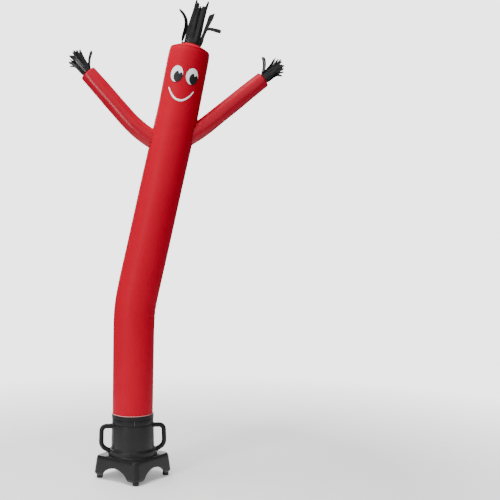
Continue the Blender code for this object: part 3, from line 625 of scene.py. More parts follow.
def pucker(angle, radius):
    """Tiny scallops that the round seam draws into the crown's edge."""
    return 0.0006 * np.sin(37 * angle + np.sin(4 * angle)) * np.exp(-(CROWN_EDGE - radius) / 0.006)


crown = surface("crown_cloth", disc_rings(frame_at(TUBE_TOP), crown_radii, crown_rises, 132, pucker), RED,
                ["crown"], facing=(0, 0, 1), wall=CLOTH_WALL)
print("crown rises", round(float(crown_rises.max()), 4))

# %% [markdown]
# ### The crown's seam
# Overlocked thread runs round the edge of the crown. A fine cord whose radius swells and shrinks reads as a
# row of stitches and costs far fewer faces than single ones.

# %% Crown seam
STITCH_DROP, STITCH_RADIUS = 0.0040, 0.0008
seam_turns = turns(260, closed=False)
seam_line = tube_point(seam_turns, np.full(260, TUBE_TOP - STITCH_DROP), 0.0004)
seam_radii = STITCH_RADIUS * (1 + 0.3 * np.sin(130 * seam_turns))
surface("crown_seam", sweep(seam_line, seam_radii, 8, closed=True), THREAD_RED, along=True)

# %% [markdown]
# ## The arms
# A sleeve is a tapering tube whose axis runs straight, turns evenly, and runs straight again. Where it leaves
# the body, its edge has to lie on the body's skin. A Boolean could cut it there, but it would tear up the
# grid. Instead the first ring is found: for each line along the sleeve, halving gives the run at which it
# meets the tube.


# %% Sleeve axis and skin
def sleeve_length(arm):
    """The lengths of the straight root, the bend and the straight tip, added."""
    return arm["root"] + arm["bend"] + arm["tip"]


def sleeve_axis(arm, run):
    """Points and headings along a sleeve's axis, summed from short straight steps."""
    fine = np.linspace(0, sleeve_length(arm), 400)
    share = np.clip((fine - arm["root"]) / arm["bend"], 0, 1)
    angle = np.radians(arm["root_angle"] + share * (arm["tip_angle"] - arm["root_angle"]))
    heading = np.stack([arm["side"] * np.cos(angle), 0 * angle, np.sin(angle)], -1)
    steps = (heading[1:] + heading[:-1]) / 2 * (fine[1] - fine[0])
    start = np.array([float(tube_axis(arm["height"])) + arm["start"], AXIS_Y, arm["height"]])
    path = np.concatenate([[start], start + np.cumsum(steps, 0)])
    points, ahead = (np.stack([np.interp(run, fine, column) for column in table.T], -1)
                     for table in (path, heading))
    return points, ahead / np.linalg.norm(ahead, axis=-1, keepdims=True)


def sleeve_point(arm, angle, run, lift=0.0):
    """The sleeve's skin: angle 0 is its lower side, 90 the back; two slow waves make it a little uneven."""
    centre, heading = sleeve_axis(arm, run)
    back = np.array([0.0, 1.0, 0.0])
    lower = np.cross(back, heading) * arm["side"]
    share = np.maximum(0.0, run - arm["root"]) / (sleeve_length(arm) - arm["root"])
    radius = arm["root_radius"] + share * (arm["tip_radius"] - arm["root_radius"]) + lift
    radius = radius + 0.0004 * np.sin(2 * angle + 17 * run) + 0.0003 * np.sin(3 * angle - 29 * run)
    return centre + radius[..., None] * (np.cos(angle)[..., None] * lower + np.sin(angle)[..., None] * back)


# %% Where a sleeve leaves the body
def outside_tube(point):
    """How far a point lies outside the tube's skin, measured square to the leaning axis."""
    slope = tube_slope(point[..., 2])
    height = point[..., 2] + (point[..., 0] - tube_axis(point[..., 2])) * slope / (1 + slope**2)
    away = np.sqrt((point[..., 0] - tube_axis(height)) ** 2 + (point[..., 2] - height) ** 2
                   + (point[..., 1] - AXIS_Y) ** 2)
    return away - tube_radius(height)


def sleeve_start(arm, angle):
    """Run at which each line of the sleeve leaves the body, by halving thirty times."""
    low, high = np.full(angle.shape, 0.0), np.full(angle.shape, arm["root"] + arm["bend"])
    for _ in range(30):
        middle = (low + high) / 2
        inside = outside_tube(sleeve_point(arm, angle, middle)) < 0
        low, high = np.where(inside, middle, low), np.where(inside, high, middle)
    return (low + high) / 2


# %% [markdown]
# ### Sleeves with their seams and cuffs
# The sleeve is gathered at both ends, as sewn cloth is. The gathers could be simulated, but on taut cloth
# they are short rays that fade away from each seam, so they are added to the radius. A stitched cord hides
# the joint at the body. The cuff is a small round panel with a vent, made like the crown.

# %% Sleeves and their seams
SEAM_CORD = 0.0013
SLEEVE_GIRTH, SLEEVE_HIDDEN = 2 * math.pi * 0.0475, 0.10


def sleeve_rows(arm, angle):
    """Rows from the seam on the body to the cuff, puckered at both ends and rounded at the cuff."""
    start, end = sleeve_start(arm, angle), sleeve_length(arm)
    share = spaced((0, 0.10, 16), (0.10, 0.92, 80), (0.92, 1.0, 16))[:, None]
    run = start + (end - start) * share
    rays = np.sin(13 * angle + 1.5 * np.sin(3 * angle))
    tuck = 0.0009 * rays * np.exp(-(run - start) / 0.018) + 0.0005 * rays * np.exp(-(end - run) / 0.010)
    round_end = 0.0012 * np.exp(-(end - run) / 0.0015)
    return sleeve_point(arm, angle + 0 * run, run, tuck - round_end)


def make_sleeve(arm):
    """The sleeve as a sheet, and the stitched cord round its root."""
    name, angle = arm["name"], turns(72)
    sleeve = surface(f"sleeve_{name}", sleeve_rows(arm, angle), SLEEVE_RED, ["arm_" + name], wall=CLOTH_WALL)
    sleeve_length(arm) - SLEEVE_HIDDEN
    seam = sleeve_point(arm, angle, sleeve_start(arm, angle), 0.0004)
    surface(f"sleeve_seam_{name}", sweep(seam, SEAM_CORD, 8, closed=True), THREAD_RED, along=True)


# %% Cuffs
def arm_end(arm):
    """The end of the arm's axis, with the directions down, to the back and along the arm."""
    centre, heading = sleeve_axis(arm, np.array([sleeve_length(arm)]))
    back = np.array([0.0, 1.0, 0.0])
    return centre[0], np.cross(back, heading[0]) * arm["side"], back, heading[0]


def make_cuff(arm):
    """A round panel that swells between its rim and the lip of its vent."""
    name, radius, place = arm["name"], arm["tip_radius"], arm_end(arm)
    swell = np.linspace(radius - 0.0014, HAND_VENT + 0.002, 12)
    radii = np.concatenate([[radius - 0.0016, radius - 0.0008], swell, [HAND_VENT + 0.0006]])
    rises = 0.0012 + 0.0022 * np.sin(np.linspace(0, math.pi, len(radii)))
    rises[[0, -1]] = -0.0012, 0.0030
    cuff = surface(f"cuff_cloth_{name}", disc_rings(place, radii, rises, 72), RED, ["cuff_" + name],
                   facing=place[3], wall=CLOTH_WALL)
    2 * radius
    2 * radius
    math.pi * (radius**2 - HAND_VENT**2)


for arm in ARMS:
    make_sleeve(arm)
    make_cuff(arm)

# %% [markdown]
# ## Hair and hands
# Hair and hands are strips of black nylon sewn round a vent, so that the escaping air throws them about. Each
# strip is a ribbon along a curve: its heading starts along the figure, bends away from the middle, and its
# width twists about the heading. A hair system could not give flat strips with cut ends, so the strips are
# grids too, and all the ribbons of a bundle are worked out together.

# %% Strip tables
HAIR = dict(radius=0.0540, width=0.0150, lean=3.5, low=-0.004, high=0.008, full=0.38)
HAIR_STRIPS = np.array([  # angle, length, lean, bend, bend starts, bend ends, tip width, twist
    (0, 0.180, -2, 94, 0.36, 0.70, 0.024, 68), (28, 0.200, 8, 2, 0.50, 1.00, 0.034, -60),
    (52, 0.204, -2, 10, 0.70, 1.00, 0.013, 0), (71, 0.222, -4, 4, 0.60, 1.00, 0.014, 0),
    (90, 0.196, -2, 2, 0.60, 1.00, 0.013, 0), (109, 0.214, -4, 3, 0.60, 1.00, 0.014, 0),
    (128, 0.228, -2, 2, 0.60, 1.00, 0.013, 0), (180, 0.198, -4, 64, 0.30, 1.00, 0.017, 62),
    (232, 0.242, -3, 2, 0.60, 1.00, 0.014, 0), (251, 0.212, -4, 2, 0.60, 1.00, 0.014, 0),
    (270, 0.202, -2, 3, 0.60, 1.00, 0.013, -34), (289, 0.206, -4, 4, 0.60, 1.00, 0.014, 16),
    (308, 0.234, -1, 20, 0.68, 1.00, 0.014, 0),
    # strips between those, which close the bundle
    (61, 0.190, -7, 6, 0.50, 1.00, 0.016, 8), (80, 0.205, -9, 6, 0.50, 1.00, 0.016, -6),
    (99, 0.200, -8, 6, 0.50, 1.00, 0.015, 6), (119, 0.210, -6, 5, 0.50, 1.00, 0.015, -8),
    (241, 0.225, -7, 5, 0.50, 1.00, 0.016, 8), (260, 0.196, -9, 6, 0.50, 1.00, 0.016, -6),
    (279, 0.198, -8, 6, 0.50, 1.00, 0.016, -34), (299, 0.208, -6, 6, 0.50, 1.00, 0.015, -8),
])
HAND = dict(radius=0.0260, width=0.0115, lean=-3.0, low=-0.006, high=0.006, full=0.25)
HAND_STRIPS = np.array([
    (0, 0.098, 5, 52, 0.40, 1.00, 0.010, 60), (30, 0.110, 2, 38, 0.50, 1.00, 0.012, 20),
    (61, 0.126, 1, 18, 0.55, 1.00, 0.011, 0), (92, 0.118, 0, 10, 0.60, 1.00, 0.011, 0),
    (123, 0.132, 0, 14, 0.60, 1.00, 0.011, 0), (153, 0.114, 1, 22, 0.60, 1.00, 0.010, -20),
    (184, 0.104, 42, 24, 0.40, 1.00, 0.019, -60), (215, 0.122, 1, 20, 0.60, 1.00, 0.010, 20),
    (246, 0.134, 0, 12, 0.60, 1.00, 0.011, 0), (276, 0.112, 0, 14, 0.60, 1.00, 0.011, 0),
    (305, 0.128, 1, 26, 0.55, 1.00, 0.012, 0), (333, 0.102, 3, 46, 0.42, 1.00, 0.011, -30),
    # strips between those
    (15, 0.112, 2, 34, 0.45, 1.00, 0.011, 40), (46, 0.118, 4, 20, 0.50, 1.00, 0.012, 30),
    (76, 0.124, -2, 12, 0.50, 1.00, 0.013, 0), (107, 0.130, 3, 16, 0.50, 1.00, 0.012, 10),
    (138, 0.120, -2, 20, 0.50, 1.00, 0.013, 10), (168, 0.116, 6, 18, 0.50, 1.00, 0.012, -50),
    (200, 0.122, 4, 26, 0.50, 1.00, 0.012, 50), (230, 0.126, 2, 16, 0.50, 1.00, 0.012, 10),
    (261, 0.128, -2, 14, 0.50, 1.00, 0.013, -10), (290, 0.120, 4, 18, 0.50, 1.00, 0.012, 0),
    (318, 0.116, 2, 36, 0.45, 1.00, 0.013, 30), (346, 0.108, 6, 30, 0.45, 1.00, 0.013, -50),
])
WIDE_END, WAIST = 0.022, -0.22  # a strip with a wider end than this is drawn in at its middle
print("strips:", len(HAIR_STRIPS), "in the hair,", len(HAND_STRIPS), "in each hand")


# %% Paths of the strips
def strip_paths(strips, bundle, place, steps):
    """Paths, headings and bands of all strips: short steps summed along a heading that tilts outwards."""
    centre, side, back, up = place
    angle, length, lean, bend, start, end = (column[:, None] for column in strips.T[:6])
    angle = np.radians(angle)
    share, number = np.linspace(0, 1, steps)[None, :], np.arange(len(strips))[:, None]
    out = np.cos(angle)[..., None] * side + np.sin(angle)[..., None] * back
    band = np.cos(angle)[..., None] * back - np.sin(angle)[..., None] * side
    flutter = np.radians(3.0) * share * np.sin(9 * share + 2.4 * number)
    tilt = np.radians(lean * np.minimum(1, 3 * share) + bend * smoothstep(start, end, share)) + flutter
    heading = np.cos(tilt)[..., None] * up + np.sin(tilt)[..., None] * out
    heading = heading + side * math.tan(math.radians(bundle["lean"]))
    heading /= np.linalg.norm(heading, axis=-1, keepdims=True)
    root = math.sqrt(bundle["radius"] ** 2 - (bundle["width"] / 2) ** 2)
    steps_along = heading * (length / (steps - 1))[..., None]
    path = centre + bundle["high"] * up + root * out + np.cumsum(steps_along, 1) - steps_along
    return path, heading, band


# %% Ribbons
def ribbons(strips, bundle, place, steps=30, across_steps=7):
    """Grids of all strips, shape (strips, steps, across, 3): a twisting, cupped width along each path."""
    path, heading, band = strip_paths(strips, bundle, place, steps)
    tip, twist = strips[:, 6:7], np.radians(strips[:, 7:8])
    share, number = np.linspace(0, 1, steps)[None, :], np.arange(len(strips))[:, None]
    face = np.cross(np.broadcast_to(band, heading.shape), heading)
    turned_by = twist * np.minimum(1, 6 * share) + 0.10 * share * np.sin(7 * share + 1.7 * number)
    across = np.cos(turned_by)[..., None] * band + np.sin(turned_by)[..., None] * face
    lift = np.cross(heading, across)
    half = (bundle["width"] + share * (tip - bundle["width"])) / 2
    full = np.where(tip > WIDE_END, WAIST, bundle["full"])
    half = half * (1 + full * np.sin(math.pi * share)) * (1 - 0.25 * smoothstep(0.90, 1.0, share))
    w = np.linspace(-1, 1, across_steps)
    cup = 0.12 * np.sin(2.0 * number + 3 * share) + 0.10
    slant = 0.8 * np.sin(5.1 * number)[..., None] * w * (half * smoothstep(0.88, 1.0, share))[..., None]
    return (path[:, :, None] + (half[..., None] * w)[..., None] * across[:, :, None]
            + (cup[..., None] * half[..., None] * w**2)[..., None] * lift[:, :, None]
            + slant[..., None] * heading[:, :, None])


def make_bundle(name, strips, bundle, place, node):
    """A sewn band and its ribbons in one mesh."""
    centre, side, back, up = place
    angle = turns(64, closed=False)
    ring = bundle["radius"] * (np.cos(angle)[:, None] * side + np.sin(angle)[:, None] * back)
    heights = np.linspace(bundle["low"], bundle["high"] + 0.001, 4)
    grids = [*ribbons(strips, bundle, place), centre + ring + heights[:, None, None] * up]
    piece = surface(name, grids, BLACK, [node], around=False, wall=RIBBON_WALL)


# %% Hair and hands
head = frame_at(TUBE_TOP)
vent_rise = CROWN_RISE * (1 - (CROWN_VENT / CROWN_EDGE) ** 2)
vent = (head[0] + head[3] * vent_rise, *head[1:])
make_bundle("hair_strips", HAIR_STRIPS, HAIR, vent, "hair")
for arm in ARMS:
    make_bundle(f"hand_strips_{arm['name']}", HAND_STRIPS, HAND, arm_end(arm), "hand_" + arm["name"])

# %% [markdown]
# ## The face
# The patches are cut flat and sewn on, so they follow the tube. They could be painted on the body's shader,
# but sewn cloth has an edge and a thickness that catch the light. A point of a patch is given by its distance
# across the skin and its rise along it, measured from the patch's middle.

# %% Face sizes
EYE_HEIGHT, EYE_APART = 2.137, 0.0856
EYE_HALF = (0.0350, 0.0445)
PUPIL_SHIFT, PUPIL_HALF = (0.0103, -0.0128), (0.0240, 0.0298)
NOTCH = dict(depth=0.60, at=76, width=0.28)
EYE_LIFT, PUPIL_LIFT = 0.0010, 0.0020
EYE_STITCH, PUPIL_STITCH = (0.0008, 0.0010), (0.0018, 0.0006)  # lift, radius
SMILE = dict(height=2.003, shift=-0.003, half=0.0715, rise=0.0620, stroke=0.0100, run=0.197)
FRONT = -math.pi / 2
print("eyes", 2 * EYE_HALF[0], "by", 2 * EYE_HALF[1])


def face_point(middle, across, rise, lift):
    """The skin's point at a distance across and a rise from a middle given by (across, height)."""
    height = middle[1] + rise / math.sqrt(1 + float(tube_slope(middle[1])) ** 2)
    return tube_point(FRONT + (middle[0] + across) / tube_radius(height), height, lift)


# %% Rims of the patches
def oval_rim(half, spokes, notch=None):
    """Across and rise of an oval's rim; a notch draws it in near the top."""
    angle = turns(spokes)
    reach = 1.0
    if notch:
        reach = 1 - notch["depth"] * np.exp(-((angle - math.radians(notch["at"])) / notch["width"]) ** 2)
    return half[0] * reach * np.cos(angle), half[1] * reach * np.sin(angle)


def cut_inside(rim, shift, half, most=0.965):
    """The rim, moved by shift, drawn in where it would pass most of the way out of an oval."""
    across, rise = rim[0] + shift[0], rim[1] + shift[1]
    share = np.minimum(1, most / np.hypot(across / half[0], rise / half[1]))
    return across * share - shift[0], rise * share - shift[1]


# %% Patches and their stitches
def patch(name, middle, rim, lift, finish, node):
    """A disc of rings that shrink to the middle, its edge turned down to the cloth below."""
    share = np.concatenate([[1.0, 1.0], np.linspace(0.985, 0.0, 12)])[:, None]
    drop = np.concatenate([[0.0, lift * 0.7], np.full(12, lift)])[:, None]
    grid = face_point(middle, rim[0] * share, rim[1] * share, drop)
    piece = surface(name, grid, finish, [node], facing=(0, -1, 0), wall=PATCH_WALL)


def stitches(name, middle, rim, lift, radius):
    """A cord of close stitches along a patch's rim."""
    line = face_point(middle, rim[0], rim[1], lift)
    surface(name, sweep(line, radius, 8, 0.7, closed=True), THREAD_BLACK, along=True)


# %% Eyes
for name, sign in [("left", -1), ("right", 1)]:
    middle = (sign * EYE_APART / 2, EYE_HEIGHT)
    rim = oval_rim(EYE_HALF, 96)
    patch(f"eye_patch_{name}", middle, rim, EYE_LIFT, WHITE, "eye_" + name)
    stitches(f"eye_stitch_{name}", middle, rim, *EYE_STITCH)
    middle = (middle[0] + PUPIL_SHIFT[0], middle[1] + PUPIL_SHIFT[1])
    rim = cut_inside(oval_rim(PUPIL_HALF, 120, NOTCH), PUPIL_SHIFT, EYE_HALF)
    patch(f"pupil_patch_{name}", middle, rim, PUPIL_LIFT, PUPIL_BLACK, "pupil_" + name)
    stitches(f"pupil_stitch_{name}", middle, rim, *PUPIL_STITCH)


# %% [markdown]
# ### The smile
# The mouth is one curved strip of white cloth. An arc of a circle would be too round for it, so its line is
# a parabola, and the strip is laid square to that line, so that it keeps its width on the slopes. It thins a
# little towards its rounded ends.

# %% Smile
def smile_grid():
    """A parabola's band: across and rise along the line, plus a width square to its slope."""
    share = np.linspace(-1, 1, 61)[:, None]
    across, rise = SMILE["half"] * share, SMILE["rise"] * share**2
    slope = 2 * SMILE["rise"] * share / SMILE["half"]
    size = np.sqrt(1 + slope**2)
    w = np.array([-1.0, -1.0, -0.9, -0.5, 0.0, 0.5, 0.9, 1.0, 1.0])
    lift = np.array([0.0, 0.0008, 0.0011, 0.0012, 0.0012, 0.0012, 0.0011, 0.0008, 0.0])
    ends = np.sqrt(1 - 0.75 * np.maximum(0, np.abs(share) - 0.96) / 0.04)
    stroke = SMILE["stroke"] / 2 * (1.0 - 0.4 * share**2) * ends
    return face_point((SMILE["shift"], SMILE["height"]), across - slope / size * w * stroke,
                      rise + w * stroke / size, lift + 0 * share)


smile = surface("smile_patch", smile_grid(), WHITE, ["smile"], around=False, facing=(0, -1, 0),
                wall=PATCH_WALL)

# %% [markdown]
# ## The blower
# Everything hard is built about the blower's own axis with its switch to the back, then turned with it. So
# each piece can be drawn square, as its mould was, and only the last step knows which way the blower faces.

# %% Blower sizes
BLOWER_TURN = math.radians(8.0)
DECK, BASE_WALL, DUCT = 0.121, 0.007, 0.100
BASE_BOTTOM, WALL_TOP = 0.0163, 0.103
BASE_CORNER, CAVITY_CORNER = 0.028, 0.085
CEILING = DECK - BASE_WALL
WALL_PROFILE = np.array([  # height, side
    (BASE_BOTTOM, 0.288), (0.021, 0.298), (0.029, 0.306), (WALL_TOP, 0.2905),
])
ARCH_HALF, ARCH_HEIGHT, ARCH_FOOT, ARCH_POWER = 0.090, 0.070, 0.012, 1.8
print("blower turned by", round(math.degrees(BLOWER_TURN), 1), "degrees")


def turned_in(points, more=0.0):
    """Points from the blower's own axes into the frame, turned a little more where asked."""
    c, s = math.cos(BLOWER_TURN + more), math.sin(BLOWER_TURN + more)
    x, y = points[..., 0], points[..., 1]
    return np.stack([AXIS_X + x * c - y * s, AXIS_Y + x * s + y * c, points[..., 2]], -1)


# %% [markdown]
# ### The foot moulding
# This is a square dish, upside down, with an arch in each side. Booleans could cut it from a block, and leave
# ragged faces round the arches. Here one eighth of its outline is worked out, then mirrored and turned. Every
# column runs up the outside, over the deck to the duct, and back down the inside, so the moulding closes on
# itself like a ring. The inside corners are rounder and leave solid blocks for the feet.

# %% Outline of the foot moulding
ON_ARCH, ON_STRAIGHT, ON_CORNER = 26, 4, 10  # columns of one eighth
PAST_ARCH = ON_STRAIGHT + ON_CORNER
ARCH_PLACE = np.concatenate([ARCH_HALF * np.sin(np.linspace(0, math.pi / 2, ON_ARCH)),
                             np.full(PAST_ARCH, ARCH_HALF)])
STRAIGHT_SHARE = np.concatenate([np.zeros(ON_ARCH), np.linspace(0, 1, ON_STRAIGHT + 1)[1:],
                                 np.ones(ON_CORNER)])
CORNER_ANGLE = np.concatenate([np.zeros(ON_ARCH + ON_STRAIGHT),
                               np.linspace(0, math.pi / 4, ON_CORNER + 1)[1:]])


def outer_eighth(side):
    """The outside at each height's side length, shape (rows, columns, 2): a straight and half a corner."""
    half = side / 2
    x = half - BASE_CORNER * (1 - np.cos(CORNER_ANGLE))
    y = ARCH_PLACE + STRAIGHT_SHARE * (half - BASE_CORNER - ARCH_HALF) + BASE_CORNER * np.sin(CORNER_ANGLE)
    return np.stack([x, y + 0 * x], -1)


def inner_eighth(side):
    """The inside wall: a circle's quarter at each corner, with its columns opposite the outside's."""
    flat = side / 2 - CAVITY_CORNER
    first = np.arcsin((ARCH_HALF - flat) / CAVITY_CORNER)
    share = np.concatenate([np.zeros(ON_ARCH), np.linspace(0, 1, PAST_ARCH + 1)[1:]])
    angle = first + share * (math.pi / 4 - first)
    bend = np.maximum(0.0, ARCH_PLACE - flat)
    on_arch = np.arange(ON_ARCH + PAST_ARCH) < ON_ARCH
    x = flat + np.where(on_arch, np.sqrt(CAVITY_CORNER**2 - bend**2), CAVITY_CORNER * np.cos(angle))
    y = np.where(on_arch, ARCH_PLACE, flat + CAVITY_CORNER * np.sin(angle))
    return np.stack([x, y], -1)


def all_eighths(part, swap=True):
    """Mirrors the eighth into a quarter and turns the quarter to all four sides."""
    mirrored = part[:, ::-1][:, 1:-1]
    quarter = np.concatenate([part, mirrored[..., ::-1] if swap else mirrored], 1)
    if not swap:
        return np.tile(quarter, (1, 4))
    x, y = quarter[..., 0], quarter[..., 1]
    return np.concatenate([np.stack(pair, -1) for pair in [(x, y), (-y, x), (-x, -y), (y, -x)]], 1)


# %% Outside, deck and inside of the foot moulding
arch_share = np.clip(ARCH_PLACE / ARCH_HALF, 0, 1)
arch_edge = ARCH_FOOT + (ARCH_HEIGHT - ARCH_FOOT) * (1 - arch_share**ARCH_POWER) ** (1 / ARCH_POWER)
bottom = np.maximum(BASE_BOTTOM, arch_edge)
up = np.concatenate([[0.0, 0.01, 0.03], np.linspace(0.08, 1.0, 22)])[:, None]
outside_z = bottom + (WALL_TOP - bottom) * up
outside = outer_eighth(np.interp(outside_z, *WALL_PROFILE.T))
shoulder = rounded([(0.2905, WALL_TOP), (0.2860, 0.1150), (0.2740, DECK), (0.2640, DECK)],
                   [0.006, 0.005], 7)[1:]
fillet, fillet_z = outer_eighth(shoulder[:, :1]), shoulder[:, 1:] + 0 * bottom
direction = np.arctan2(fillet[-1, :, 1], fillet[-1, :, 0])
duct_edge = DUCT * np.stack([np.cos(direction), np.sin(direction)], -1)
steps = np.linspace(0.25, 1, 4)[:, None, None]
deck = fillet[-1] * (1 - steps) + duct_edge * steps
under = inner_eighth(np.array([[0.2685]]))[0]
roof = duct_edge * (1 - steps) + under * steps
down = np.concatenate([np.linspace(0.03, 0.95, 14), [0.98, 1.0]])[:, None]
inside_z = CEILING - 0.003 + (bottom - CEILING + 0.003) * down
inside = inner_eighth(np.interp(inside_z, [0.029, CEILING], [0.292, 0.2765]))
print("rows of the foot moulding:", len(outside) + len(fillet) + 9 + len(inside))

# %% The foot moulding
CORNER_TO_FRONT = math.radians(45)
flat_rows = np.concatenate([outside, fillet, deck, duct_edge[None], roof, inside])
level_rows = np.concatenate([outside_z, fillet_z, DECK + 0 * deck[..., 0], CEILING + 0 * bottom[None],
                             CEILING + 0 * roof[..., 0], inside_z])
moulding = np.concatenate([all_eighths(flat_rows), all_eighths(level_rows, swap=False)[..., None]], -1)
surface("foot_moulding", turned_in(moulding, CORNER_TO_FRONT), CHARCOAL, ["base"], along=True)

# %% [markdown]
# ### Rubber feet
# Four round feet are pushed into the corner blocks. A short cylinder with a bevel would look alike, but the
# outline's roundings can each have their own radius, so each foot is turned from one rounded outline.

# %% Feet
FOOT_REACH, FOOT_RADIUS, FOOT_TALL = 0.1775, 0.0165, 0.0165
foot_outline = rounded([
    (0.0, 0.0), (0.0160, 0.0), (FOOT_RADIUS, 0.0040), (FOOT_RADIUS, FOOT_TALL), (0.0, FOOT_TALL)],
    [0.0016, 0.0016, 0.0006], 5)
for i in range(4):
    angle = math.radians(90 * i) + BLOWER_TURN
    foot_at = (AXIS_X + FOOT_REACH * math.cos(angle), AXIS_Y + FOOT_REACH * math.sin(angle))
    surface(f"rubber_foot_{i + 1}", turned(foot_outline, 40, foot_at), RUBBER, [f"foot_{i + 1}"])

# %% [markdown]
# ### The barrel
# The barrel holds the fan and is as round as its blades' path. Cylinders could be joined and bevelled, but
# one rounded profile carried round the axis gives the foot ring, the neck, the duct and their soft mould
# edges at once.

# %% Barrel
BARREL_PROFILE = [  # radius, height, radius of the rounding
    (DUCT, 0.1212, 0), (0.1320, 0.1212, 0.0004), (0.1272, 0.1255, 0.003), (0.1268, 0.1480, 0.005),
    (0.1215, 0.1535, 0.0035), (0.1150, 0.1560, 0.004), (0.1152, 0.2000, 0.03), (0.1135, 0.2500, 0.03),
    (0.1118, 0.2860, 0.0025), (0.1045, 0.2860, 0.0004), (0.1047, 0.3260, 0.001), (DUCT, 0.3260, 0),
]
barrel_line = rounded([point[:2] for point in BARREL_PROFILE],
                      [point[2] for point in BARREL_PROFILE[1:-1]], 7)
surface("barrel", turned(barrel_line, 180), CHARCOAL, ["housing"], along=True)

# %% [markdown]
# ### The collar
# A ring presses the hem on the neck. It is turned too, but has one short slot at the back. In place of a
# Boolean, the profile steps inwards inside the slot: two columns of the grid lie together at each of its
# sides, and two rows at its top and bottom.

# %% Collar
COLLAR_INSIDE, COLLAR_OUTSIDE, COLLAR_TOP = 0.1069, 0.1127, 0.3380
SLOT_HALF, SLOT_LOW, SLOT_HIGH, SLOT_FLOOR = 0.0045, 0.3279, 0.3329, 0.1085
STEP = 1e-4
slot_turn = SLOT_HALF / COLLAR_OUTSIDE
slot_edges = math.pi / 2 + np.array([-slot_turn - STEP, -slot_turn, slot_turn, slot_turn + STEP])
collar_turns = np.sort(np.concatenate([turns(180), slot_edges]))
below = rounded([(COLLAR_INSIDE, 0.2864), (0.1090, 0.2864), (0.1090, 0.3186), (COLLAR_OUTSIDE, 0.3192),
                 (COLLAR_OUTSIDE, 0.3258), (0.1122, 0.3263), (0.1122, 0.3273), (COLLAR_OUTSIDE, SLOT_LOW)],
                [0.0005, 0.0008, 0.0010, 0.0003, 0.0003, 0.0003], 5)
above = rounded([(COLLAR_OUTSIDE, SLOT_HIGH), (COLLAR_OUTSIDE, COLLAR_TOP), (0.1096, COLLAR_TOP),
                 (COLLAR_INSIDE, 0.3365)], [0.0012, 0.0008], 6)
rows = np.concatenate([below, [(COLLAR_OUTSIDE, SLOT_LOW + STEP), (COLLAR_OUTSIDE, SLOT_HIGH - STEP)], above])
in_rows = np.isin(np.arange(len(rows)), [len(below), len(below) + 1])[:, None]
in_turns = (np.abs(collar_turns - math.pi / 2) <= slot_turn + 1e-6)[None, :]
collar_radius = np.where(in_rows & in_turns, SLOT_FLOOR, rows[:, :1] + 0 * collar_turns)
collar_grid = np.stack([collar_radius * np.cos(collar_turns), collar_radius * np.sin(collar_turns),
                        rows[:, 1:] + 0 * collar_turns], -1)
# The collar takes the darker copy of the charcoal plastic, which is painted shade under the hem.
surface("collar_ring", turned_in(collar_grid), SHADED_COLLAR_CHARCOAL, ["collar"], along=True)

# %% [markdown]
# ### The clamp band
# A flat band is drawn tight round the collar and is split at the front. A pale tick in the gap between its
# ends is a painted reflection of light. The band is a rounded box's outline carried nearly all the way round.

# %% Clamp band
BAND_HALF, BAND_RADIUS, BAND_HEIGHT, BAND_GAP = (0.0008, 0.01275), 0.1102, 0.30275, 0.0135


def box_outline(half, corner, steps=5):
    """A closed outline of a rectangle with round corners."""
    quarter = np.linspace(0, math.pi / 2, steps)
    sides = [(1, 1, 0), (-1, 1, 1), (-1, -1, 2), (1, -1, 3)]
    return np.concatenate([
        np.stack([x * (half[0] - corner) + corner * np.cos(quarter + k * math.pi / 2),
                  y * (half[1] - corner) + corner * np.sin(quarter + k * math.pi / 2)], -1)
        for x, y, k in sides])


band_turns = (-math.pi / 2 + np.linspace(BAND_GAP, 2 * math.pi - BAND_GAP, 160))[:, None]
band_section = box_outline(BAND_HALF, 0.0006, 4)[None]
band_radius, band_height = BAND_RADIUS + band_section[..., 0], BAND_HEIGHT + band_section[..., 1]
band_grid = np.stack([band_radius * np.cos(band_turns), band_radius * np.sin(band_turns),
                      band_height + 0 * band_turns], -1)
# The band takes the same darker copy, painted shade under the hem.
surface("band_strap", turned_in(capped(band_grid)), SHADED_COLLAR_CHARCOAL, ["clamp_band"])

# %% The band's tick
TICK_HALF, TICK_FRONT, TICK_ENDS = 0.0013, -0.1095, (0.2908, 0.3147)
tick = np.array([[(-TICK_HALF, TICK_FRONT, z), (-TICK_HALF, TICK_FRONT - 0.0004, z),
                  (TICK_HALF, TICK_FRONT - 0.0004, z), (TICK_HALF, TICK_FRONT, z)] for z in TICK_ENDS])
# A pale strip set in the band's gap: a painted reflection of light.
surface("band_glint", turned_in(capped(tick)), GLINT_PALE)

# %% [markdown]
# ### Handles
# A bar of round section is bent to a D, so a swept circle is all it needs. It swells a little where it grows
# out of the barrel, as moulded joints do.

# %% Handles
HANDLE_RADIUS, SWELL = 0.0125, 0.0022
bends = rounded([(0.1105, 0.2725), (0.1672, 0.2725), (0.1705, 0.1660), (0.1215, 0.1392)],
                [0.0300, 0.0290], 14)
handle_line = np.concatenate([np.linspace(bends[0], bends[1], 8)[:-1], bends[1:14],
                              np.linspace(bends[14], bends[15], 8)[:-1], bends[15:-1],
                              np.linspace(bends[-2], bends[-1], 6)])
run = np.concatenate([[0], np.cumsum(np.linalg.norm(np.diff(handle_line, axis=0), axis=1))])
handle_radii = HANDLE_RADIUS + SWELL * (np.exp(-run / 0.005) + np.exp(-(run[-1] - run) / 0.006))
# The handles take the darker copy of the charcoal plastic, which is painted shade.
for name, sign in [("left", -1), ("right", 1)]:
    line = np.stack([sign * handle_line[:, 0], 0 * run, handle_line[:, 1]], -1)
    surface(f"carry_handle_{name}", turned_in(capped(sweep(line, handle_radii, 32))), SHADED_HANDLE_CHARCOAL,
            ["handle_" + name])

# %% [markdown]
# ### The switch box
# A flat pad on the barrel carries a cover with the switch. The pad is stacked from rounded outlines, each a
# little further out. They are drawn in the box's front plane: x to its own left, z up, and y outwards from
# the blower's axis. The cover's shape has slopes in several directions, which its solid already has, so that
# solid's mesh is copied, cleaned and given soft edges with a Bevel.

# %% Switch pad
PAD_FRONT, PANEL_FRONT = 0.122, 0.147
PAD_HALF, PAD_CORNER, PAD_MIDDLE = (0.058, 0.061), 0.0085, (0.0, 0.224)


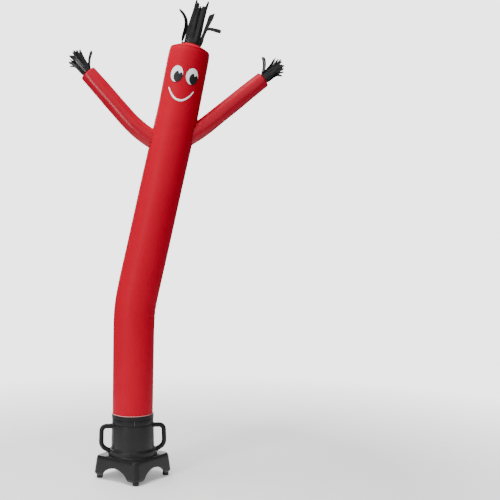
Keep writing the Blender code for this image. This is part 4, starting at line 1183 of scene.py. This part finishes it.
def stacked(outlines, levels, middle=(0.0, 0.0)):
    """Outlines in the front plane, each at its own distance outwards."""
    rings = []
    for outline, level in zip(outlines, levels):
        x, z = outline[:, 0] + middle[0], outline[:, 1] + middle[1]
        rings.append(np.stack([x, np.full(len(outline), level), z], -1))
    return turned_in(np.stack(rings))


pad_rounds = rounded([(0.0, 0.100), (0.0, PAD_FRONT), (0.020, PAD_FRONT)], 0.0022, 8)[:-1]
pad_rings = [box_outline((PAD_HALF[0] - inset, PAD_HALF[1] - inset), PAD_CORNER - inset)
             for inset in pad_rounds[:, 0]]
surface("switch_plate", capped(stacked(pad_rings, pad_rounds[:, 1], PAD_MIDDLE)), CHARCOAL, ["switch_pad"])

# %% Switch cover
solid_cover = bpy.data.objects["switch_cover"]
cover_mesh = solid_cover.data.copy()
cover_mesh.transform(solid_cover.matrix_world)
cover_mesh.materials.clear()
cover_shape = bmesh.new()
cover_shape.from_mesh(cover_mesh)
bmesh.ops.remove_doubles(cover_shape, verts=cover_shape.verts, dist=1e-5)
bmesh.ops.dissolve_limit(cover_shape, angle_limit=math.radians(1.0), verts=cover_shape.verts,
                         edges=cover_shape.edges)
cover_shape.to_mesh(cover_mesh)
cover_shape.free()
cover = dress("switch_housing", cover_mesh, CHARCOAL, ["switch_cover"])
soften = cover.modifiers.new("soft edges", "BEVEL")
soften.width = 0.0011
soften.segments = 3
soften.limit_method = "ANGLE"
soften.angle_limit = math.radians(35)

# %% [markdown]
# ### The bezel
# The switch snaps into the cover with a black frame. A bevelled box with a hole cut in it would do, but rings
# need no cutting: they run up the frame's outside, over its front and down into the hole, and shrink on the
# way from the outer outline to the hole's.

# %% Bezel
SWITCH_AT = (0.0, 0.2025)
BEZEL_HALF, HOLE_HALF = (0.0185, 0.0135), (0.0123, 0.0088)
bezel_front = PANEL_FRONT + 0.0025
bezel_rounds = rounded([(0.0, PANEL_FRONT + 0.0002), (0.0, bezel_front), (1.0, bezel_front),
                        (1.0, PANEL_FRONT - 0.002)], [0.0008, 0.0006], 6)
bezel_rings = [box_outline([outer + share * (hole - outer) for outer, hole in zip(BEZEL_HALF, HOLE_HALF)],
                           0.003 - share * 0.0025, 6) for share in bezel_rounds[:, 0]]
surface("switch_bezel", stacked(bezel_rings, bezel_rounds[:, 1], SWITCH_AT), BEZEL_BLACK, ["bezel"],
        along=True)

# %% [markdown]
# ### The rocker
# The rocker tips about a pin behind its middle. Its section is a shallow V in front, rounded at the edges, so
# it is drawn level, carried from end to end, and tipped last. The two marks are raised and ride with it.

# %% Rocker
REST = math.radians(11.0)
PIVOT = PANEL_FRONT + 0.0015
ROCKER_HALF, ROCKER_TALL, ROCKER_DIP = 0.0110, 0.0085, 0.0028


def tipped(points):
    """Points about the pivot, tipped to the rest position and put in the frame."""
    x, y, z = points[..., 0], points[..., 1], points[..., 2]
    c, s = math.cos(REST), math.sin(REST)
    return turned_in(np.stack([x * c - y * s, x * s + y * c + PIVOT, z + SWITCH_AT[1]], -1))


section = rounded([
    (0.0, ROCKER_DIP), (ROCKER_HALF, 0.0045), (ROCKER_HALF, -0.0015), (0.0040, -0.0072), (-0.0040, -0.0072),
    (-ROCKER_HALF, -0.0015), (-ROCKER_HALF, 0.0045), (0.0, ROCKER_DIP)],
    [0.0010, 0.0008, 0.0008, 0.0008, 0.0008, 0.0010], 6)[:-1]
levels = rounded([(0.0006, -ROCKER_TALL), (0.0, -ROCKER_TALL), (0.0, ROCKER_TALL), (0.0006, ROCKER_TALL)],
                 0.0005, 5)
shrink = 1 - levels[:, :1] / ROCKER_HALF
rocker_rings = np.stack([section[:, 0] * shrink, section[:, 1] * shrink,
                         levels[:, 1:] + 0 * section[:, 0]], -1)
surface("rocker_key", tipped(capped(rocker_rings)), GREEN, ["rocker"], body=SWITCH)


# %% The rocker's marks
def on_rocker(x, z):
    """A line on the rocker's front face, whose depth grows evenly from its middle."""
    return tipped(np.stack([x, ROCKER_DIP + 0.0017 * np.abs(x) / ROCKER_HALF, z], -1))


MARK_RADIUS = 0.00035
dash_x, ring_angle = np.linspace(0.0034, 0.0076, 8), turns(40)
dash = on_rocker(dash_x, 0 * dash_x)
ring = on_rocker(-0.0057 + 0.0021 * np.cos(ring_angle), 0.0026 * np.sin(ring_angle))
surface("rocker_dash", capped(sweep(dash, MARK_RADIUS, 8)), MARK_WHITE, body=SWITCH)
surface("rocker_ring", sweep(ring, MARK_RADIUS, 8, closed=True), MARK_WHITE, along=True, body=SWITCH)

# %% [markdown]
# ### Screws
# Four domed screws hold the pad. A screw's dome has a cross pressed into it. The cross needs no cutting: the
# depth is a function of how near each point is to either arm, and each screw was left at its own turn.

# %% Screws
SCREW_HEAD, CROSS_DEPTH = 0.0042, 0.0013
SCREW_PLACES = [(x, z) for z in (0.274, 0.179) for x in (0.0475, -0.0475)]
angle = turns(64)
reach = SCREW_HEAD * np.concatenate([[1.0, 1.0, 0.985], np.linspace(0.96, 0.0, 30)])[:, None]
dome = 0.0012 + 0.0016 * np.sqrt(np.maximum(0.0, 1 - (reach / SCREW_HEAD) ** 2))
dome[0] = 0.0002
for i, (x, z) in enumerate(SCREW_PLACES):
    twist = 0.35 + 0.9 * i
    near = reach * np.minimum(np.abs(np.cos(angle + twist)), np.abs(np.sin(angle + twist)))
    cross = smoothstep(-0.00062, -0.00030, -near) * smoothstep(-0.0026, -0.0022, -reach)
    grid = np.stack([x + reach * np.cos(angle), PAD_FRONT + dome - CROSS_DEPTH * cross,
                     z + reach * np.sin(angle)], -1)
    surface(f"dome_screw_{i + 1}", turned_in(grid), METAL, [f"screw_{i + 1}"])

# %% [markdown]
# ### The cable gland
# Where a mains cord enters, a hexagon nut is screwed on, with a round, finely ribbed cap on it. A six-sided
# cylinder would have sharp corners, so the nut is a circle cut by six flats: at each angle the smaller of the
# two reaches wins, which also rounds its corners near the front.

# %% Gland
GLAND_AT, NUT_REACH = (0.032, 0.1742), 0.0090
nut_turn = turns(96)
sector = (nut_turn + math.pi / 6) % (math.pi / 3) - math.pi / 6
hex_reach = NUT_REACH * math.cos(math.pi / 6) / np.cos(sector)


def round_outlines(reaches):
    """Outlines about the gland's axis from reaches at each angle."""
    return [np.stack([reach * np.cos(nut_turn), reach * np.sin(nut_turn)], -1) for reach in reaches]


nut_profile = rounded([(0.90, 0.0003), (1.0, 0.0010), (1.0, 0.0062), (0.86, 0.0070), (0.60, 0.0070)], 0.02, 4)
nut_reaches = [np.minimum(hex_reach * min(share * 1.04, 1.0), NUT_REACH * share)
               for share in nut_profile[:, 0]]
nut = stacked(round_outlines(nut_reaches), PAD_FRONT + nut_profile[:, 1], GLAND_AT)
surface("gland_nut", capped(nut), METAL, ["gland"])

cap_profile = rounded([(0.0060, 0.0068), (0.0076, 0.0070), (0.0076, 0.0170), (0.0058, 0.0205),
                       (0.0036, 0.0215), (0.0034, 0.0195)], [0.0004, 0.004, 0.003, 0.0006], 7)
ribs = np.cos(24 * nut_turn) * smoothstep(0.0075, 0.0078, cap_profile[:, :1] + 0.0003)
cap = stacked(round_outlines(cap_profile[:, :1] * (1 + 0.02 * ribs)), PAD_FRONT + cap_profile[:, 1], GLAND_AT)
surface("gland_cap", capped(cap), METAL)

# %% [markdown]
# ## Floor, light and camera
# A pale floor takes the soft shadow. It is one big disc whose edge fades out, so that no horizon line shows.

# %% Floor
FLOOR_RADIUS, FADE_FROM, FADE_TO = 9.0, 1.2, 3.5
rim = turns(96, closed=False)
floor_points = np.stack([FLOOR_RADIUS * np.cos(rim), FLOOR_RADIUS * np.sin(rim), 0 * rim], -1)
floor_mesh = bpy.data.meshes.new("floor")
floor_mesh.from_pydata(floor_points.tolist(), [], [list(range(96))])
PALE_FLOOR = Finish("pale_floor", "floor", Roughness=0.8, Specular_IOR_Level=0.1,
                    Emission_Color=(1, 1, 1, 1), Emission_Strength=0.22)
floor_place = PALE_FLOOR.place()
floor_away = PALE_FLOOR.node("ShaderNodeVectorMath", {"operation": "LENGTH"}, {0: floor_place}, 1)
floor_cloud = PALE_FLOOR.noise(floor_place, 1.5)
PALE_FLOOR.set(Base_Color=PALE_FLOOR.mix(floor_cloud, (0.93, 0.93, 0.93), (0.96, 0.96, 0.96)),
               Alpha=PALE_FLOOR.span(floor_away, FADE_FROM, FADE_TO, 1.0, 0.0))
floor_mesh.materials.append(PALE_FLOOR.material)
floor = bpy.data.objects.new("floor", floor_mesh)
bpy.context.scene.collection.objects.link(floor)
print("floor faces:", len(floor_mesh.polygons))

# %% [markdown]
# ### The sky
# A white sky as bright as the backdrop looks would wash out the red. So the sky is bright only where the
# camera sees it directly, and lights the figure far less.

# %% Sky
SKY_SEEN, SKY_LIGHT = 3.3, 0.18
world = bpy.data.worlds.new("white_sky")
world.use_nodes = True
sky = world.node_tree.nodes["Background"]
sky.inputs["Color"].default_value = (1, 1, 1, 1)
ray = world.node_tree.nodes.new("ShaderNodeLightPath")
strength = world.node_tree.nodes.new("ShaderNodeMapRange")
strength.inputs["To Min"].default_value = SKY_LIGHT
strength.inputs["To Max"].default_value = SKY_SEEN
world.node_tree.links.new(ray.outputs["Is Camera Ray"], strength.inputs["Value"])
world.node_tree.links.new(strength.outputs["Result"], sky.inputs["Strength"])
bpy.context.scene.world = world
print("sky seen", SKY_SEEN, "and felt", SKY_LIGHT)

# %% [markdown]
# ### The lights
# A tall, narrow light at the front left draws a long soft streak down the cloth. A large one in front fills
# the shadows, one at the back lights the switch, and one above lights the floor. A single lamp would leave
# half of the black blower unlit. The one above is split in two, because its whole mirror image would whiten
# the sleeves: a little under half of it gives light but no gloss.


# %% Lights
def soft_light(name, place, target, size, power, shines=True):
    """A rectangular light at a place, turned to its target."""
    lamp = bpy.data.lights.new(name, "AREA")
    lamp.shape = "RECTANGLE"
    lamp.size, lamp.size_y = size
    lamp.energy = power
    held = bpy.data.objects.new(name, lamp)
    held.location = place
    held.visible_glossy = shines
    away = np.array(place) - np.array(target)
    held.rotation_euler = (math.acos(away[2] / np.linalg.norm(away)), 0, math.atan2(away[0], -away[1]))
    bpy.context.scene.collection.objects.link(held)


soft_light("front_left", (-2.1, -2.3, 1.9), (0.0, 0.0, 1.3), (0.5, 3.0), 66)
soft_light("front_fill", (1.2, -4.0, 2.4), (0.0, 0.0, 1.2), (4.5, 4.5), 52)
soft_light("back_fill", (-0.8, 4.2, 2.4), (0.0, 0.0, 1.0), (3.0, 3.0), 120)
soft_light("overhead", (-0.9, -0.5, 5.0), (-0.2, 0.0, 0.0), (3.0, 3.0), 150, shines=False)
soft_light("overhead_gloss", (-0.9, -0.5, 5.0), (-0.2, 0.0, 0.0), (3.0, 3.0), 180)
print("lights:", len(bpy.data.lights))

# %% [markdown]
# ### The camera
# The camera looks level, so that upright things stay upright, and is shifted sideways, because the figure
# stands left of the middle. The lens is worked out from how many picture widths away the figure stands.

# %% Camera
SENSOR, FOCAL_IN_PIXELS, PICTURE_PIXELS = 36, 788.5, 500
CAMERA_AT, SIDE_SHIFT = (0.0017, -4.25, 1.217), 0.1464
camera = bpy.data.objects.new("camera", bpy.data.cameras.new("camera"))
camera.location = CAMERA_AT
camera.rotation_euler = (math.radians(90), 0, 0)
camera.data.sensor_width = SENSOR
camera.data.lens = FOCAL_IN_PIXELS / PICTURE_PIXELS * SENSOR
camera.data.shift_x = SIDE_SHIFT
bpy.context.scene.collection.objects.link(camera)
bpy.context.scene.camera = camera
print("lens", round(camera.data.lens, 2))
